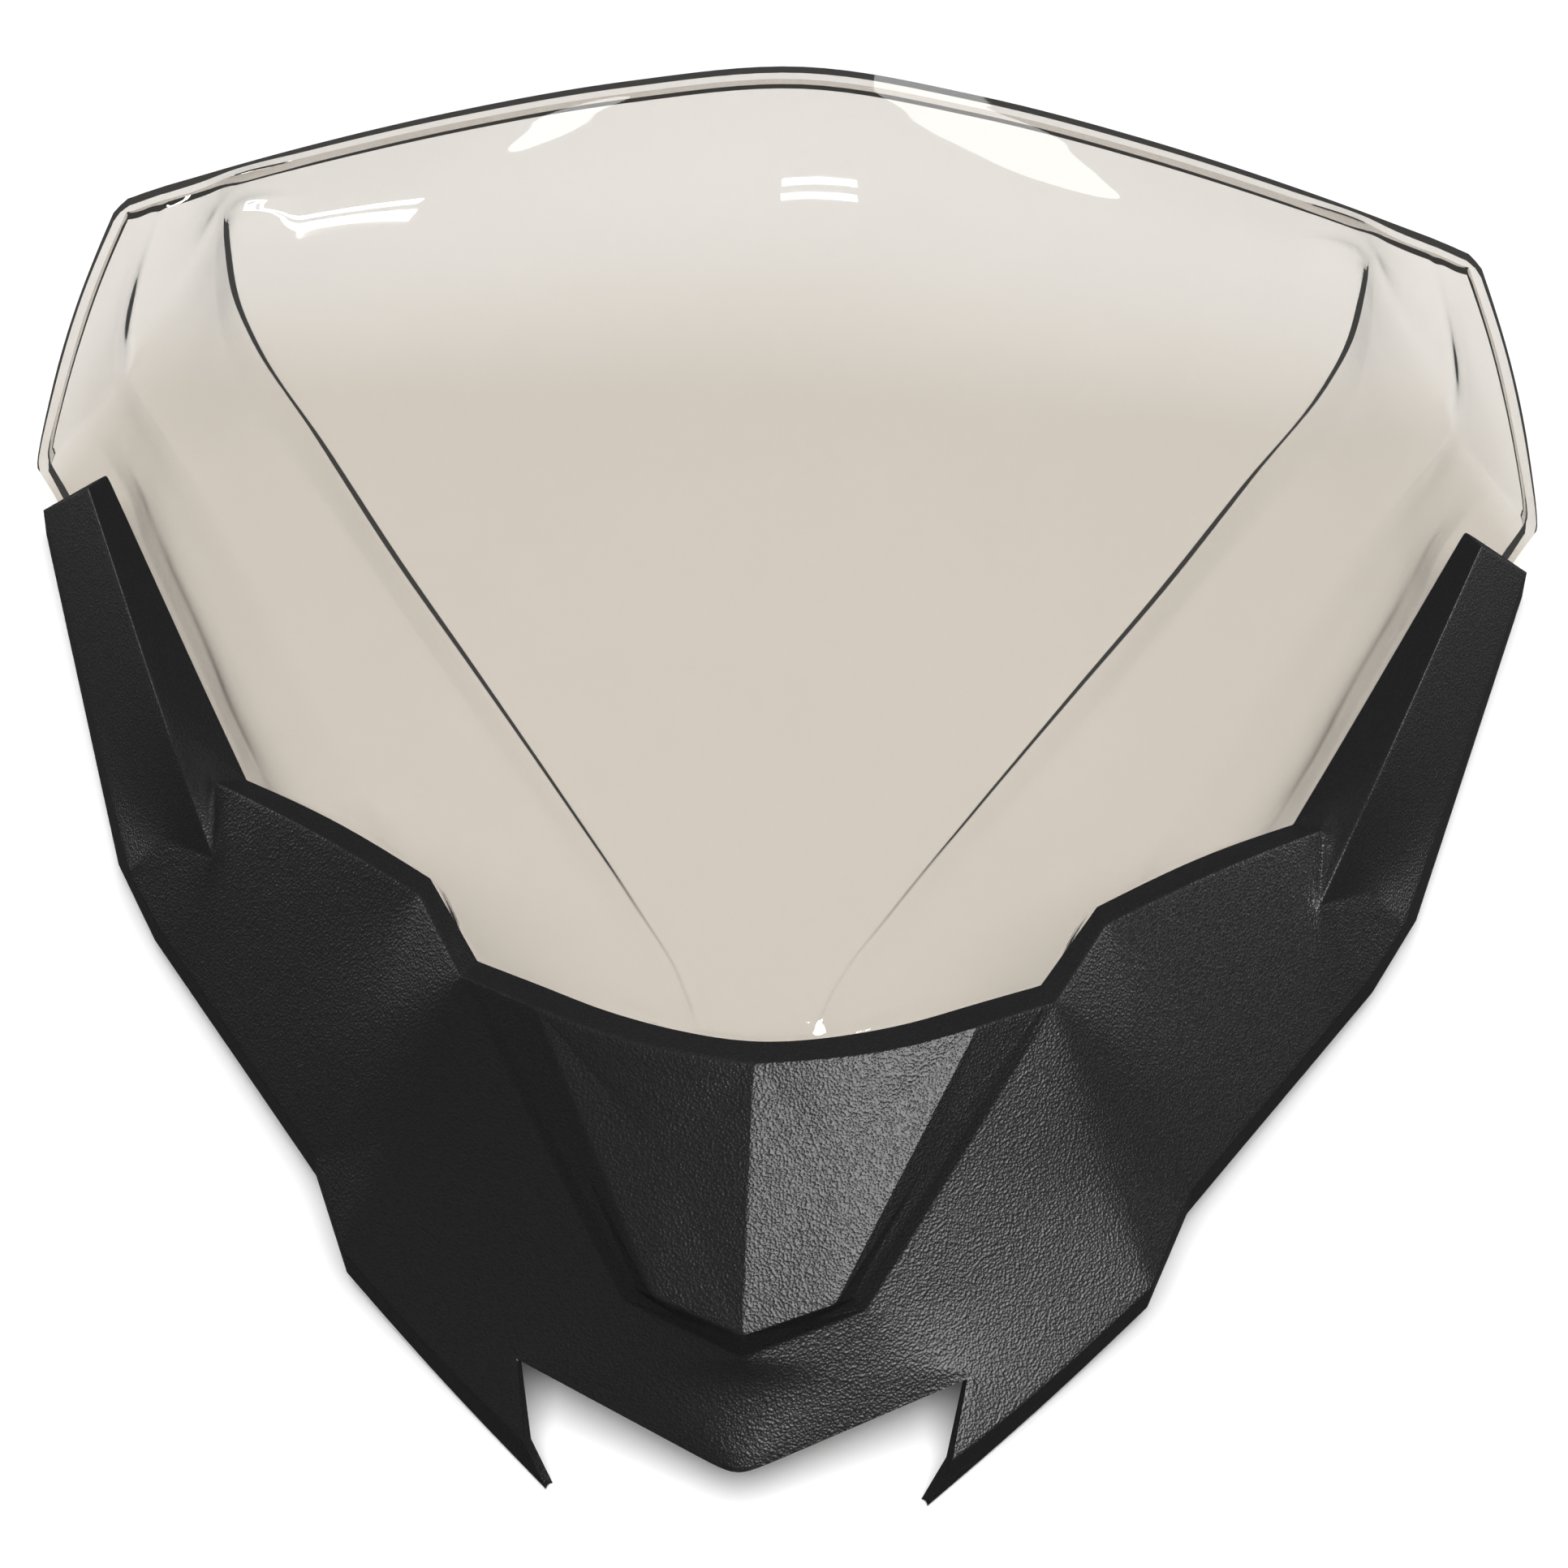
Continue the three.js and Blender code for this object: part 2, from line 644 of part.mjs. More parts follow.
// ---------------------------------------------------------------- mounting plates
function uprightPlace(x, y, z) {
  return { origin: vec([x, y, z]), axis: UP.clone() };
}

function postSolids() {
  return POST_POINTS.map(([x, y]) => {
    const low = PLATE_TOP + GAP;
    const high = sheetAt(COVER_TRIANGLES, x, y).z + POST_RADIUS;
    return {
      post: rod(POST_RADIUS, low, high, uprightPlace(x, y, 0)),
      pilot: rod(PILOT_RADIUS, low - CUT, low + POST_PILOT_DEPTH, uprightPlace(x, y, 0)),
    };
  });
}

const [LOWER_POST, UPPER_POST] = POST_POINTS.map(([x, y]) => new THREE.Vector2(x, y));
const HALF_POST_SPACING = LOWER_POST.distanceTo(UPPER_POST) / 2;
const PLATE_ANGLE = UPPER_POST.clone().sub(LOWER_POST).angle();
const PLATE_MIDDLE = LOWER_POST.clone().lerp(UPPER_POST, 0.5);

function plateOutline() {
  const half = HALF_POST_SPACING + PLATE_OVERHANG - PLATE_HALF_WIDTH;
  const outline = new THREE.Shape();
  outline.moveTo(-half, -PLATE_HALF_WIDTH);
  outline.lineTo(half, -PLATE_HALF_WIDTH);
  outline.absarc(half, 0, PLATE_HALF_WIDTH, -Math.PI / 2, Math.PI / 2, false);
  outline.lineTo(-half, PLATE_HALF_WIDTH);
  outline.absarc(-half, 0, PLATE_HALF_WIDTH, Math.PI / 2, Math.PI * 1.5, false);
  return outline;
}

function hole(x, radius) {
  const path = new THREE.Path();
  path.absarc(x, 0, radius, 0, Math.PI * 2, true);
  return path;
}

function mountingPlate() {
  const outline = plateOutline();
  outline.holes.push(hole(-HALF_POST_SPACING, PILOT_RADIUS));
  outline.holes.push(hole(HALF_POST_SPACING, PILOT_RADIUS));
  outline.holes.push(hole(0, GROMMET_HOLE_RADIUS));
  const geometry = new THREE.ExtrudeGeometry(outline, {
    depth: PLATE_THICKNESS, bevelEnabled: false, curveSegments: ROUND / 2,
  });
  geometry.rotateZ(PLATE_ANGLE);
  geometry.translate(PLATE_MIDDLE.x, PLATE_MIDDLE.y, PLATE_BOTTOM);
  return geometry;
}

function plateScrew([x, y]) {
  return screw(PLATE_BOTTOM - GAP, PLATE_TOP + PLATE_SCREW_REACH, uprightPlace(x, y, 0));
}

const PLATE_BOTTOM = PLATE_TOP - PLATE_THICKNESS;
const SLEEVE_LOW = PLATE_BOTTOM - GAP - GROMMET_FLANGE;
const SLEEVE_HIGH = PLATE_TOP + GAP + GROMMET_FLANGE;

// A rubber bush with a flange on both sides of the plate.
function grommet(place) {
  const bore = SLEEVE_RADIUS + GAP;
  const waist = GROMMET_HOLE_RADIUS - GAP;
  return turned([
    [bore, SLEEVE_LOW], [GROMMET_FLANGE_RADIUS, SLEEVE_LOW],
    [GROMMET_FLANGE_RADIUS, PLATE_BOTTOM - GAP], [waist, PLATE_BOTTOM - GAP],
    [waist, PLATE_TOP + GAP], [GROMMET_FLANGE_RADIUS, PLATE_TOP + GAP],
    [GROMMET_FLANGE_RADIUS, SLEEVE_HIGH], [bore, SLEEVE_HIGH], [bore, SLEEVE_LOW],
  ], place);
}

function sleeve(place) {
  return ring(STUD_RADIUS + GAP, SLEEVE_RADIUS, SLEEVE_LOW, SLEEVE_HIGH, place);
}

const STUD_HEAD_LOW = SLEEVE_HIGH + GAP;
const STUD_HEAD_TOP = STUD_HEAD_LOW + STUD_HEAD_HEIGHT;
const STUD_TIP = PLATE_BOTTOM - STUD_LENGTH_BELOW;

// A stud with a slotted round head above the plate and a cross hole near its tip.
function quarterTurnStud(place) {
  const stud = turned([
    [0, STUD_TIP],
    [STUD_RADIUS - STUD_BEVEL, STUD_TIP],
    [STUD_RADIUS, STUD_TIP + STUD_BEVEL],
    [STUD_RADIUS, STUD_HEAD_LOW],
    [STUD_HEAD_RADIUS, STUD_HEAD_LOW],
    [STUD_HEAD_RADIUS, STUD_HEAD_TOP - STUD_BEVEL],
    [STUD_HEAD_RADIUS - STUD_BEVEL, STUD_HEAD_TOP],
    [0, STUD_HEAD_TOP],
  ], place);
  const slotLength = 2 * (STUD_HEAD_RADIUS + CUT);
  const slot = new THREE.BoxGeometry(slotLength, STUD_SLOT_WIDTH, 2 * STUD_SLOT_DEPTH);
  slot.translate(place.origin.x, place.origin.y, STUD_HEAD_TOP);
  const crossHole = crossPin(place, CROSS_PIN_RADIUS + GAP);
  const solid = toManifold(stud).subtract(toManifold(slot)).subtract(toManifold(crossHole));
  return toGeometry(solid);
}

function crossPin({ origin }, radius = CROSS_PIN_RADIUS) {
  const geometry = new THREE.CylinderGeometry(radius, radius, 2 * CROSS_PIN_HALF_LENGTH, ROUND / 2);
  geometry.rotateZ(Math.PI / 2);
  geometry.translate(origin.x, origin.y, STUD_TIP + CROSS_PIN_FROM_TIP);
  return geometry;
}

// ---------------------------------------------------------------- gaskets
function planNormal(line, i) {
  const a = line[Math.max(i - 1, 0)];
  const b = line[Math.min(i + 1, line.length - 1)];
  const length = Math.hypot(b[0] - a[0], b[1] - a[1]);
  return [(b[1] - a[1]) / length, -(b[0] - a[0]) / length];
}

// A foam strip between the shell and the screen, beside a line in the plan.
function gasketStrip(line) {
  const top = SHELL_THICKNESS + 3 * GAP;
  const bottom = top + GASKET_THICKNESS;
  const sections = line.map(([x, y], i) => {
    const [nx, ny] = planNormal(line, i);
    const near = [x + nx * GASKET_INSET, y + ny * GASKET_INSET];
    const far = [near[0] + nx * GASKET_WIDTH, near[1] + ny * GASKET_WIDTH];
    const underside = [underCover(near, bottom), underCover(far, bottom)];
    return [...underside, underCover(far, top), underCover(near, top)];
  });
  const faces = [sections[0], [...sections[sections.length - 1]].reverse()];
  for (let i = 0; i + 1 < sections.length; i += 1) {
    const [a, b] = [sections[i], sections[i + 1]];
    for (let k = 0; k < 4; k += 1) {
      const next = (k + 1) % 4;
      faces.push([a[k], b[k], b[next], a[next]]);
    }
  }
  return geometryFrom(fanTriangles(faces));
}

// ---------------------------------------------------------------- joining and cutting
function mirroredGeometry(geometry) {
  const copy = geometry.index ? geometry.toNonIndexed() : geometry.clone();
  const position = copy.attributes.position;
  const corner = (i) => [-position.getX(i), position.getY(i), position.getZ(i)];
  for (let i = 0; i < position.count; i += 3) {
    const [a, b, c] = [corner(i), corner(i + 1), corner(i + 2)];
    position.setXYZ(i, ...a);
    position.setXYZ(i + 1, ...c);
    position.setXYZ(i + 2, ...b);
  }
  copy.computeVertexNormals();
  return copy;
}

// Adds a moulded boss and its mirror image, trimmed inside the skin.
function addBothSides(solid, geometry) {
  const right = toManifold(geometry).subtract(ROOF);
  const left = toManifold(mirroredGeometry(geometry)).subtract(ROOF);
  return solid.add(right).add(left);
}

function cutBothSides(solid, geometry) {
  return solid.subtract(toManifold(geometry)).subtract(toManifold(mirroredGeometry(geometry)));
}

function lowerShell() {
  const rightClamps = CLAMPS.filter(({ name }) => name.endsWith('right'));
  const posts = postSolids();
  let solid = toManifold(shellSkin());
  for (const { place } of rightClamps) solid = addBothSides(solid, clampBoss(place));
  for (const { post } of posts) solid = addBothSides(solid, post);
  solid = addBothSides(solid, restPad());
  for (const { place } of rightClamps) solid = cutBothSides(solid, clampPilot(place));
  for (const { pilot } of posts) solid = cutBothSides(solid, pilot);
  return toGeometry(solid);
}

function tintedScreen() {
  let solid = toManifold(screenSheet());
  for (const { place } of CLAMPS) solid = solid.subtract(toManifold(clampHole(place)));
  return toGeometry(solid);
}

// ---------------------------------------------------------------- assembly
const windshield = new THREE.Group();
const body = new THREE.Group();
body.position.set(0, -NOSE_TO_MIDDLE, LIFT);
windshield.add(body);

function place(name, geometry, finishName) {
  const mesh = new THREE.Mesh(geometry, finish(finishName));
  mesh.name = name;
  body.add(mesh);
}

place('tinted_screen', tintedScreen(), 'tint');
place('lower_shell', lowerShell(), 'plastic');
place('rim_gasket_centre', gasketStrip(CENTRE_GASKET_LINE), 'foam');
place('rim_gasket_right', gasketStrip(WING_GASKET_LINE), 'foam');
place('rim_gasket_left', mirroredGeometry(gasketStrip(WING_GASKET_LINE)), 'foam');

for (const clamp of CLAMPS) {
  place(`clamp_screw_${clamp.name}`, clampScrew(clamp.place), 'blackSteel');
  place(`clamp_washer_${clamp.name}`, clampWasher(clamp.place), 'steel');
}

for (const side of ['right', 'left']) {
  const turn = side === 'left' ? mirroredGeometry : (geometry) => geometry;
  const studPlace = uprightPlace(PLATE_MIDDLE.x, PLATE_MIDDLE.y, 0);
  place(`mount_plate_${side}`, turn(mountingPlate()), 'blackSteel');
  place(`mount_grommet_${side}`, turn(grommet(studPlace)), 'rubber');
  place(`mount_sleeve_${side}`, turn(sleeve(studPlace)), 'steel');
  place(`quarter_turn_stud_${side}`, turn(quarterTurnStud(studPlace)), 'steel');
  place(`stud_cross_pin_${side}`, turn(crossPin(studPlace)), 'steel');
  POST_POINTS.forEach((point, i) => {
    place(`plate_screw_${side}_${i + 1}`, turn(plateScrew(point)), 'blackSteel');
  });
}

export default windshield;
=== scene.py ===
"""A two-piece windshield: a tinted clear screen held in a black moulded lower shell.

Metres, +Z up, +Y from the nose to the top edge, +X to the right. The tables of outline points are in
millimetres from the nose datum, for the right half, and the left half is their mirror image.
"""
import math

import bmesh
import bpy
import numpy as np
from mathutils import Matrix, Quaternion, Vector
from mathutils.bvhtree import BVHTree

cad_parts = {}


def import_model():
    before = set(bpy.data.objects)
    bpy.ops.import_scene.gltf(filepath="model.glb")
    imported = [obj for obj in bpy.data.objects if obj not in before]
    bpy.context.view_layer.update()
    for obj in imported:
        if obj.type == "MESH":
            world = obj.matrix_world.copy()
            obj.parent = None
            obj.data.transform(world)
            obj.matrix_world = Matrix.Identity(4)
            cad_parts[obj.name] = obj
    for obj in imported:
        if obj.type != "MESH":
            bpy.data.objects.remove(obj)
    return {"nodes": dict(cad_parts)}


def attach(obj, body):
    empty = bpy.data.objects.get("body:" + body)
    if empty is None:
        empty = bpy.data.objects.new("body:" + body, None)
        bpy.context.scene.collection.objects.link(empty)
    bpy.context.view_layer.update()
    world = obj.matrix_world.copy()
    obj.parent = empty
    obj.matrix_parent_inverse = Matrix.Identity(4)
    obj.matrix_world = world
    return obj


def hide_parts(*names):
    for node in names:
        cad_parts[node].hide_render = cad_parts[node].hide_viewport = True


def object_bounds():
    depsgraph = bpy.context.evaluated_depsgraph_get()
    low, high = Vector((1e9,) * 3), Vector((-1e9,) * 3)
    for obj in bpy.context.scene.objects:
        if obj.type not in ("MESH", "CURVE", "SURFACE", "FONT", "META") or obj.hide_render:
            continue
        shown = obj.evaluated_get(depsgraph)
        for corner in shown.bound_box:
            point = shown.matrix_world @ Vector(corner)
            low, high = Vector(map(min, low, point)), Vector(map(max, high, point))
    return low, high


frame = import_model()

CAD_LOW, CAD_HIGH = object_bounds()
NODES = frame["nodes"]
BODY = "windshield"
SIDES = ("right", "left")
CLAMPS = ("nose", "block", "wing", "fork_root", "fork_tip")

MM = 0.001
UP = (0, 0, 1)
PRONG_REACH = 18        # from the nose datum to the tips of the prongs, the lowest Y of all
FLANGE_CORNER = 0.5     # the shell's lowest corner lies this far below the datum
NOSE_DATUM = Vector((0, CAD_LOW.y - PRONG_REACH * MM, CAD_LOW.z + FLANGE_CORNER * MM))


def to_frame(points):
    """Millimetres from the nose datum, as metres in the row frame."""
    return np.asarray(points, float) * MM + np.array(NOSE_DATUM)


def to_datum(point):
    """The way back: a point of the row frame in millimetres from the nose datum."""
    return (np.asarray(point, float) - np.array(NOSE_DATUM)) / MM


# ---------------------------------------------------------------- lower shell: outline
SKIN = 3.0
CORNER = {
    "rim_centre": (0, 118, 108),
    "rim_near": (21, 120.8, 107.2),
    "rim_bow": (40.9, 125.3, 105.8),
    "rim_far": (55.8, 130.3, 105.5),
    "crest_top": (69.6, 135.8, 105.3),
    "lip_top": (92.1, 148.6, 98.6),
    "block_corner": (95.4, 150.3, 97.4),
    "rim_step": (114, 184, 92),
    "rim_middle": (156, 216.5, 79),
    "root_inner": (197.9, 245.4, 63),
    "root_ridge": (196.6, 220.2, 51.5),
    "ridge_low": (211.2, 250.3, 70),
    "ridge_middle": (231.7, 294, 67.7),
    "ridge_high": (253.8, 341.7, 61.4),
    "tip_ridge": (276.8, 391, 54),
    "tip_inner": (276.7, 411, 40),
    "inner_middle": (216, 300, 51.5),
    "inner_high": (246, 355, 45.7),
    "tip_outer": (309.5, 413, 14),
    "outer_high": (290.9, 367.6, 16),
    "outer_middle": (272.2, 322.1, 18),
    "outer_low": (253.6, 276.7, 20),
    "root_outer": (234.9, 231.2, 22),
    "wing_lower": (219.5, 208, 22),
    "wing_lower_b": (196.8, 179.7, 23.3),
    "wing_lower_a": (172, 148.7, 24.7),
    "waist_upper": (148.6, 119.5, 26),
    "waist_lower": (134.8, 87, 22),
    "prong_outer": (97.3, 52, 15),
    "prong_inner": (68.5, 28, 14),
    "notch": (72.5, 51.1, 26.3),
    "nose_lip": (0, 19, 17),
    "foot_centre": (0, 47, 47),
    "foot_outer": (38.5, 63.5, 49.5),
    "groove_middle": (59, 94, 66.3),
    "lip_foot": (34.5, 64.5, 56.5),
    "lip_middle": (56.3, 95.2, 71.8),
    "crest_foot": (28.3, 60.2, 60.8),
    "ridge_foot": (0, 49.7, 58),
}
RIM_RETURN = {
    "rim_centre": (0, 127.5, 103.5),
    "rim_near": (20, 130.4, 102.4),
    "rim_bow": (39, 135.7, 100.6),
    "rim_far": (53.5, 140.8, 99.6),
    "crest_top": (66.5, 146.9, 98.2),
    "lip_top": (88.5, 157.4, 93.8),
    "block_corner": (91.5, 159, 93),
    "rim_step": (112, 194, 86.5),
    "rim_middle": (150.5, 225, 73.5),
    "root_inner": (189, 251.5, 56.5),
}
FLANGE_FOOT = {
    "tip_outer": (311, 411, 1),
    "outer_high": (294.4, 369.2, 2.8),
    "outer_middle": (277.7, 327.3, 4.5),
    "outer_low": (261.1, 285.5, 6.3),
    "root_outer": (244.4, 243.6, 8),
    "wing_lower": (224.4, 211.5, 8),
    "wing_lower_b": (200.5, 181.7, 9.3),
    "wing_lower_a": (174.3, 149.2, 10.7),
    "waist_upper": (149.7, 118.5, 12),
    "waist_lower": (134.8, 85.5, 8),
    "prong_outer": (99, 51.5, 1),
    "prong_inner": (61.5, 18, 0),
}
POINTS = dict(CORNER)
POINTS.update({f"return_{name}": point for name, point in RIM_RETURN.items()})
POINTS.update({f"foot_{name}": point for name, point in FLANGE_FOOT.items()})

# Each patch is one smooth moulded surface: faces counter-clockwise from outside, on the right half.
PATCHES = {
    "facet": ["ridge_foot crest_foot crest_top rim_far rim_bow rim_near rim_centre"],
    "band": ["crest_foot lip_foot lip_middle lip_top crest_top"],
    "wall": ["lip_foot foot_outer groove_middle lip_middle",
             "lip_middle groove_middle block_corner lip_top"],
    "step": ["foot_centre foot_outer lip_foot crest_foot ridge_foot"],
    "wing": ["nose_lip notch foot_outer foot_centre",
             "prong_inner prong_outer notch",
             "notch prong_outer foot_outer",
             "foot_outer prong_outer waist_lower groove_middle",
             "groove_middle waist_lower waist_upper block_corner",
             "block_corner waist_upper wing_lower_a rim_step",
             "rim_step wing_lower_a wing_lower_b rim_middle",
             "rim_middle wing_lower_b root_ridge root_inner",
             "wing_lower_b wing_lower root_ridge",
             "root_ridge wing_lower root_outer"],
    "fork_outer": ["root_ridge root_outer outer_low ridge_low",
                   "ridge_low outer_low outer_middle ridge_middle",
                   "ridge_middle outer_middle outer_high ridge_high",
                   "ridge_high outer_high tip_outer tip_ridge"],
    "fork_inner": ["root_inner root_ridge ridge_low",
                   "root_inner ridge_low ridge_middle inner_middle return_root_inner",
                   "ridge_middle ridge_high inner_high inner_middle",
                   "ridge_high tip_ridge tip_inner inner_high"],
    "fork_cap": ["tip_ridge tip_outer tip_inner"],
}
# Runs of the rim's return and of the lower flange, split where the moulding turns a sharp corner.
RIM_RUNS = [
    ["rim_centre", "rim_near", "rim_bow", "rim_far", "crest_top", "lip_top", "block_corner"],
    ["block_corner", "rim_step"],
    ["rim_step", "rim_middle", "root_inner"],
]
FLANGE_RUNS = [
    ["tip_outer", "outer_high", "outer_middle", "outer_low", "root_outer"],
    ["root_outer", "wing_lower"],
    ["wing_lower", "wing_lower_b", "wing_lower_a", "waist_upper"],
    ["waist_upper", "waist_lower"],
    ["waist_lower", "prong_outer", "prong_inner"],
]
ONE_PIECE_PATCHES = ("wing", "rim_0")     # these run across the middle of the part
EDGE_ROUNDING = 1.5
PATCH_ROUNDING = {"wall": 0.9, "step": 1.6, "facet": 2.2}
ROUNDING_LEVELS = 3
FREE_EDGE_CREASE = 1.0
CORNER_CREASE = 0.85
CORNER_HOLD = 3.0       # distance from a corner within which the outline may round off
LONGEST_HOLD = 0.3      # the most of an edge that such a distance may take
# Corners of the free outline, where only two patches meet, with their own distances.
OUTLINE_HOLD = {"notch": 2, "nose_lip": 11, "prong_inner": 2, "foot_prong_inner": 2,
                "return_root_inner": 3, "tip_inner": 4, "foot_tip_outer": 2.5}
MITRE_PASSES = 60
MITRE_LIMIT = 1.8       # the longest mitre, in skin depths


def shell_faces():
    """Every outer face of the right half, as (patch, names of its corners)."""
    faces = [(patch, face.split()) for patch, listed in PATCHES.items() for face in listed]
    for run_name, prefix, runs in (("rim", "return", RIM_RUNS), ("flange", "foot", FLANGE_RUNS)):
        for i, run in enumerate(runs):
            for a, b in zip(run, run[1:]):
                faces.append((f"{run_name}_{i}", [a, b, f"{prefix}_{b}", f"{prefix}_{a}"]))
    return faces


def both_halves(faces):
    """The faces of both halves, as (patch, [(name, side)]). A point on the middle plane has side 0."""
    made = []
    for side in (1, -1):
        for patch, names in faces:
            corners = [(n, side if POINTS[n][0] > 0 else 0) for n in names]
            whole = patch if patch in ONE_PIECE_PATCHES else f"{patch}_{side}"
            made.append((whole, corners if side > 0 else corners[::-1]))
    return made


def mitred_shift(normals, depth):
    """The shift that lies the same depth below every face that meets at a corner."""
    shift = -depth * np.sum(normals, axis=0) / np.linalg.norm(np.sum(normals, axis=0))
    for _ in range(MITRE_PASSES):
        for normal in normals:
            shift = shift + normal * (-depth - shift @ normal) / 2
    length = np.linalg.norm(shift)
    return shift * min(1, MITRE_LIMIT * depth / length)


def face_normal(points):
    """The mean normal of a face that need not be flat."""
    points = np.asarray(points, float)
    total = np.cross(points, np.roll(points, -1, axis=0)).sum(axis=0)
    return total / np.linalg.norm(total)


def shell_cage():
    """A closed cage of the shell: outer faces, inner faces a skin below them, and the free edge. With
    it come the faces of each patch, and the distances held at the corners of the free outline."""
    faces = both_halves(shell_faces())
    place = {}
    for _, corners in faces:
        for name, side in corners:
            place[name, side] = np.array(POINTS[name], float) * (side or 1, 1, 1)
    normals, open_edges = {}, {}
    for _, corners in faces:
        normal = face_normal([place[c] for c in corners])
        for a, b in zip(corners, corners[1:] + corners[:1]):
            normals.setdefault(a, []).append(normal)
            if (b, a) in open_edges:
                del open_edges[b, a]
            else:
                open_edges[a, b] = True
    bm = bmesh.new()
    outer = {c: bm.verts.new(to_frame(p)) for c, p in place.items()}
    inner = {c: bm.verts.new(to_frame(p + mitred_shift(normals[c], SKIN))) for c, p in place.items()}
    patches = {}
    for patch, corners in faces:
        patches.setdefault(patch, []).append(bm.faces.new([outer[c] for c in corners]))
        patches.setdefault(f"{patch}_in", []).append(bm.faces.new([inner[c] for c in corners[::-1]]))
    patches["edge"] = [bm.faces.new([outer[b], outer[a], inner[a], inner[b]]) for a, b in open_edges]
    holds = {v: OUTLINE_HOLD[name] for whole in (outer, inner)
             for (name, _), v in whole.items() if name in OUTLINE_HOLD}
    return bm, patches, holds


def hold_corners(bm, patches, holds):
    """Splits the edges beside each corner, so that the outline stays crisp there. A corner is a point
    where three or more patches meet, or one of the outline's own."""
    owner = {face: name for name, faces in patches.items() for face in faces}
    for vert in bm.verts[:]:
        if vert not in holds and len({owner[f] for f in vert.link_faces}) > 2:
            holds[vert] = CORNER_HOLD
    for vert, hold in holds.items():
        for edge in list(vert.link_edges):
            if len({owner[f] for f in edge.link_faces}) > 1:
                share = min(hold * MM / edge.calc_length(), LONGEST_HOLD)
                bmesh.utils.edge_split(edge, vert, share)


def hold_free_edge(bm, patches, holds):
    """Keeps both borders of the free edge where they are, and the lines across it at its corners, so
    that the outline stays true."""
    crease = bm.edges.layers.float.new("crease_edge")
    strip = set(patches["edge"])
    for edge in bm.edges:
        of_strip = len(strip.intersection(edge.link_faces))
        if of_strip == 1:
            edge[crease] = FREE_EDGE_CREASE
        elif of_strip == 2 and all(holds.get(v, math.inf) <= CORNER_HOLD for v in edge.verts):
            edge[crease] = CORNER_CREASE


def round_patches(bm, patches):
    """Sets each patch in from its border, so that subdivision rounds the edges between patches."""
    for name, faces in patches.items():
        if name == "edge":
            continue
        width = PATCH_ROUNDING.get(name.split("_")[0], EDGE_ROUNDING)
        bmesh.ops.inset_region(bm, faces=faces, thickness=width * MM, use_even_offset=True,
                               use_boundary=True, use_interpolate=True)


# ---------------------------------------------------------------- turned shapes and booleans
ROUND_STEPS = 40
SHARP_ANGLE = 40


def turned(name, profile, centre, axis):
    """A closed turned solid: (radius, height) in millimetres along an axis, starting and ending on it."""
    bm = bmesh.new()
    turn = Vector(UP).rotation_difference(Vector(axis))
    rings = []
    for radius, height in profile:
        count = 1 if radius == 0 else ROUND_STEPS
        angles = [2 * math.pi * i / ROUND_STEPS for i in range(count)]
        local = [Vector((radius * math.cos(a), radius * math.sin(a), height)) * MM for a in angles]
        rings.append([bm.verts.new(Vector(centre) + turn @ p) for p in local])
    for low, high in zip(rings, rings[1:]):
        for i in range(ROUND_STEPS):
            a, b = low[i % len(low)], low[(i + 1) % len(low)]
            c, d = high[(i + 1) % len(high)], high[i % len(high)]
            bm.faces.new([v for k, v in enumerate((a, b, c, d)) if v not in (a, b, c, d)[:k]])
    return mesh_object(name, bm)


def mesh_object(name, bm):
    """A new object in the scene, made from a mesh in the making."""
    mesh = bpy.data.meshes.new(name)
    bmesh.ops.recalc_face_normals(bm, faces=bm.faces[:])
    bm.to_mesh(mesh)
    bm.free()
    made = bpy.data.objects.new(name, mesh)
    bpy.context.scene.collection.objects.link(made)
    return made


def apply_modifiers(piece):
    """Replaces the piece's mesh with what its modifiers make of it."""
    made = bpy.data.meshes.new_from_object(piece.evaluated_get(bpy.context.evaluated_depsgraph_get()))
    made.materials.clear()
    piece.modifiers.clear()
    piece.data = made


def combine(piece, tools, operation):
    """Adds tools to the piece, or cuts them from it, and removes them."""
    for tool in tools:
        change = piece.modifiers.new(operation, "BOOLEAN")
        change.operation = operation
        change.solver = "MANIFOLD"
        change.object = tool
    apply_modifiers(piece)
    for tool in tools:
        bpy.data.objects.remove(tool)


def smooth(piece, sharp_angle=SHARP_ANGLE):
    """Smooth shading, with the edges sharper than an angle in degrees left sharp."""
    piece.data.shade_smooth()
    piece.data.set_sharp_from_angle(angle=math.radians(sharp_angle))


def piece_tree(piece):
    """A search tree of a piece's faces, for rays."""
    mesh = piece.data
    return BVHTree.FromPolygons([v.co for v in mesh.vertices], [p.vertices for p in mesh.polygons])


# ---------------------------------------------------------------- where the CAD puts the fasteners
def node_points(name):
    return np.array([v.co for v in NODES[name].data.vertices])


def clamp_axis(clamp, side):
    """The washer's middle, the screw's direction and how far its tip reaches above the washer."""
    washer = node_points(f"clamp_washer_{clamp}_{side}").mean(axis=0)
    screw = node_points(f"clamp_screw_{clamp}_{side}")
    axis = screw.mean(axis=0) - washer
    axis = axis / np.linalg.norm(axis)
    return washer, axis, float(((screw - washer) @ axis).max()) / MM


def clamp_places():
    """The same for all ten clamp screws."""
    return [clamp_axis(clamp, side) for side in SIDES for clamp in CLAMPS]


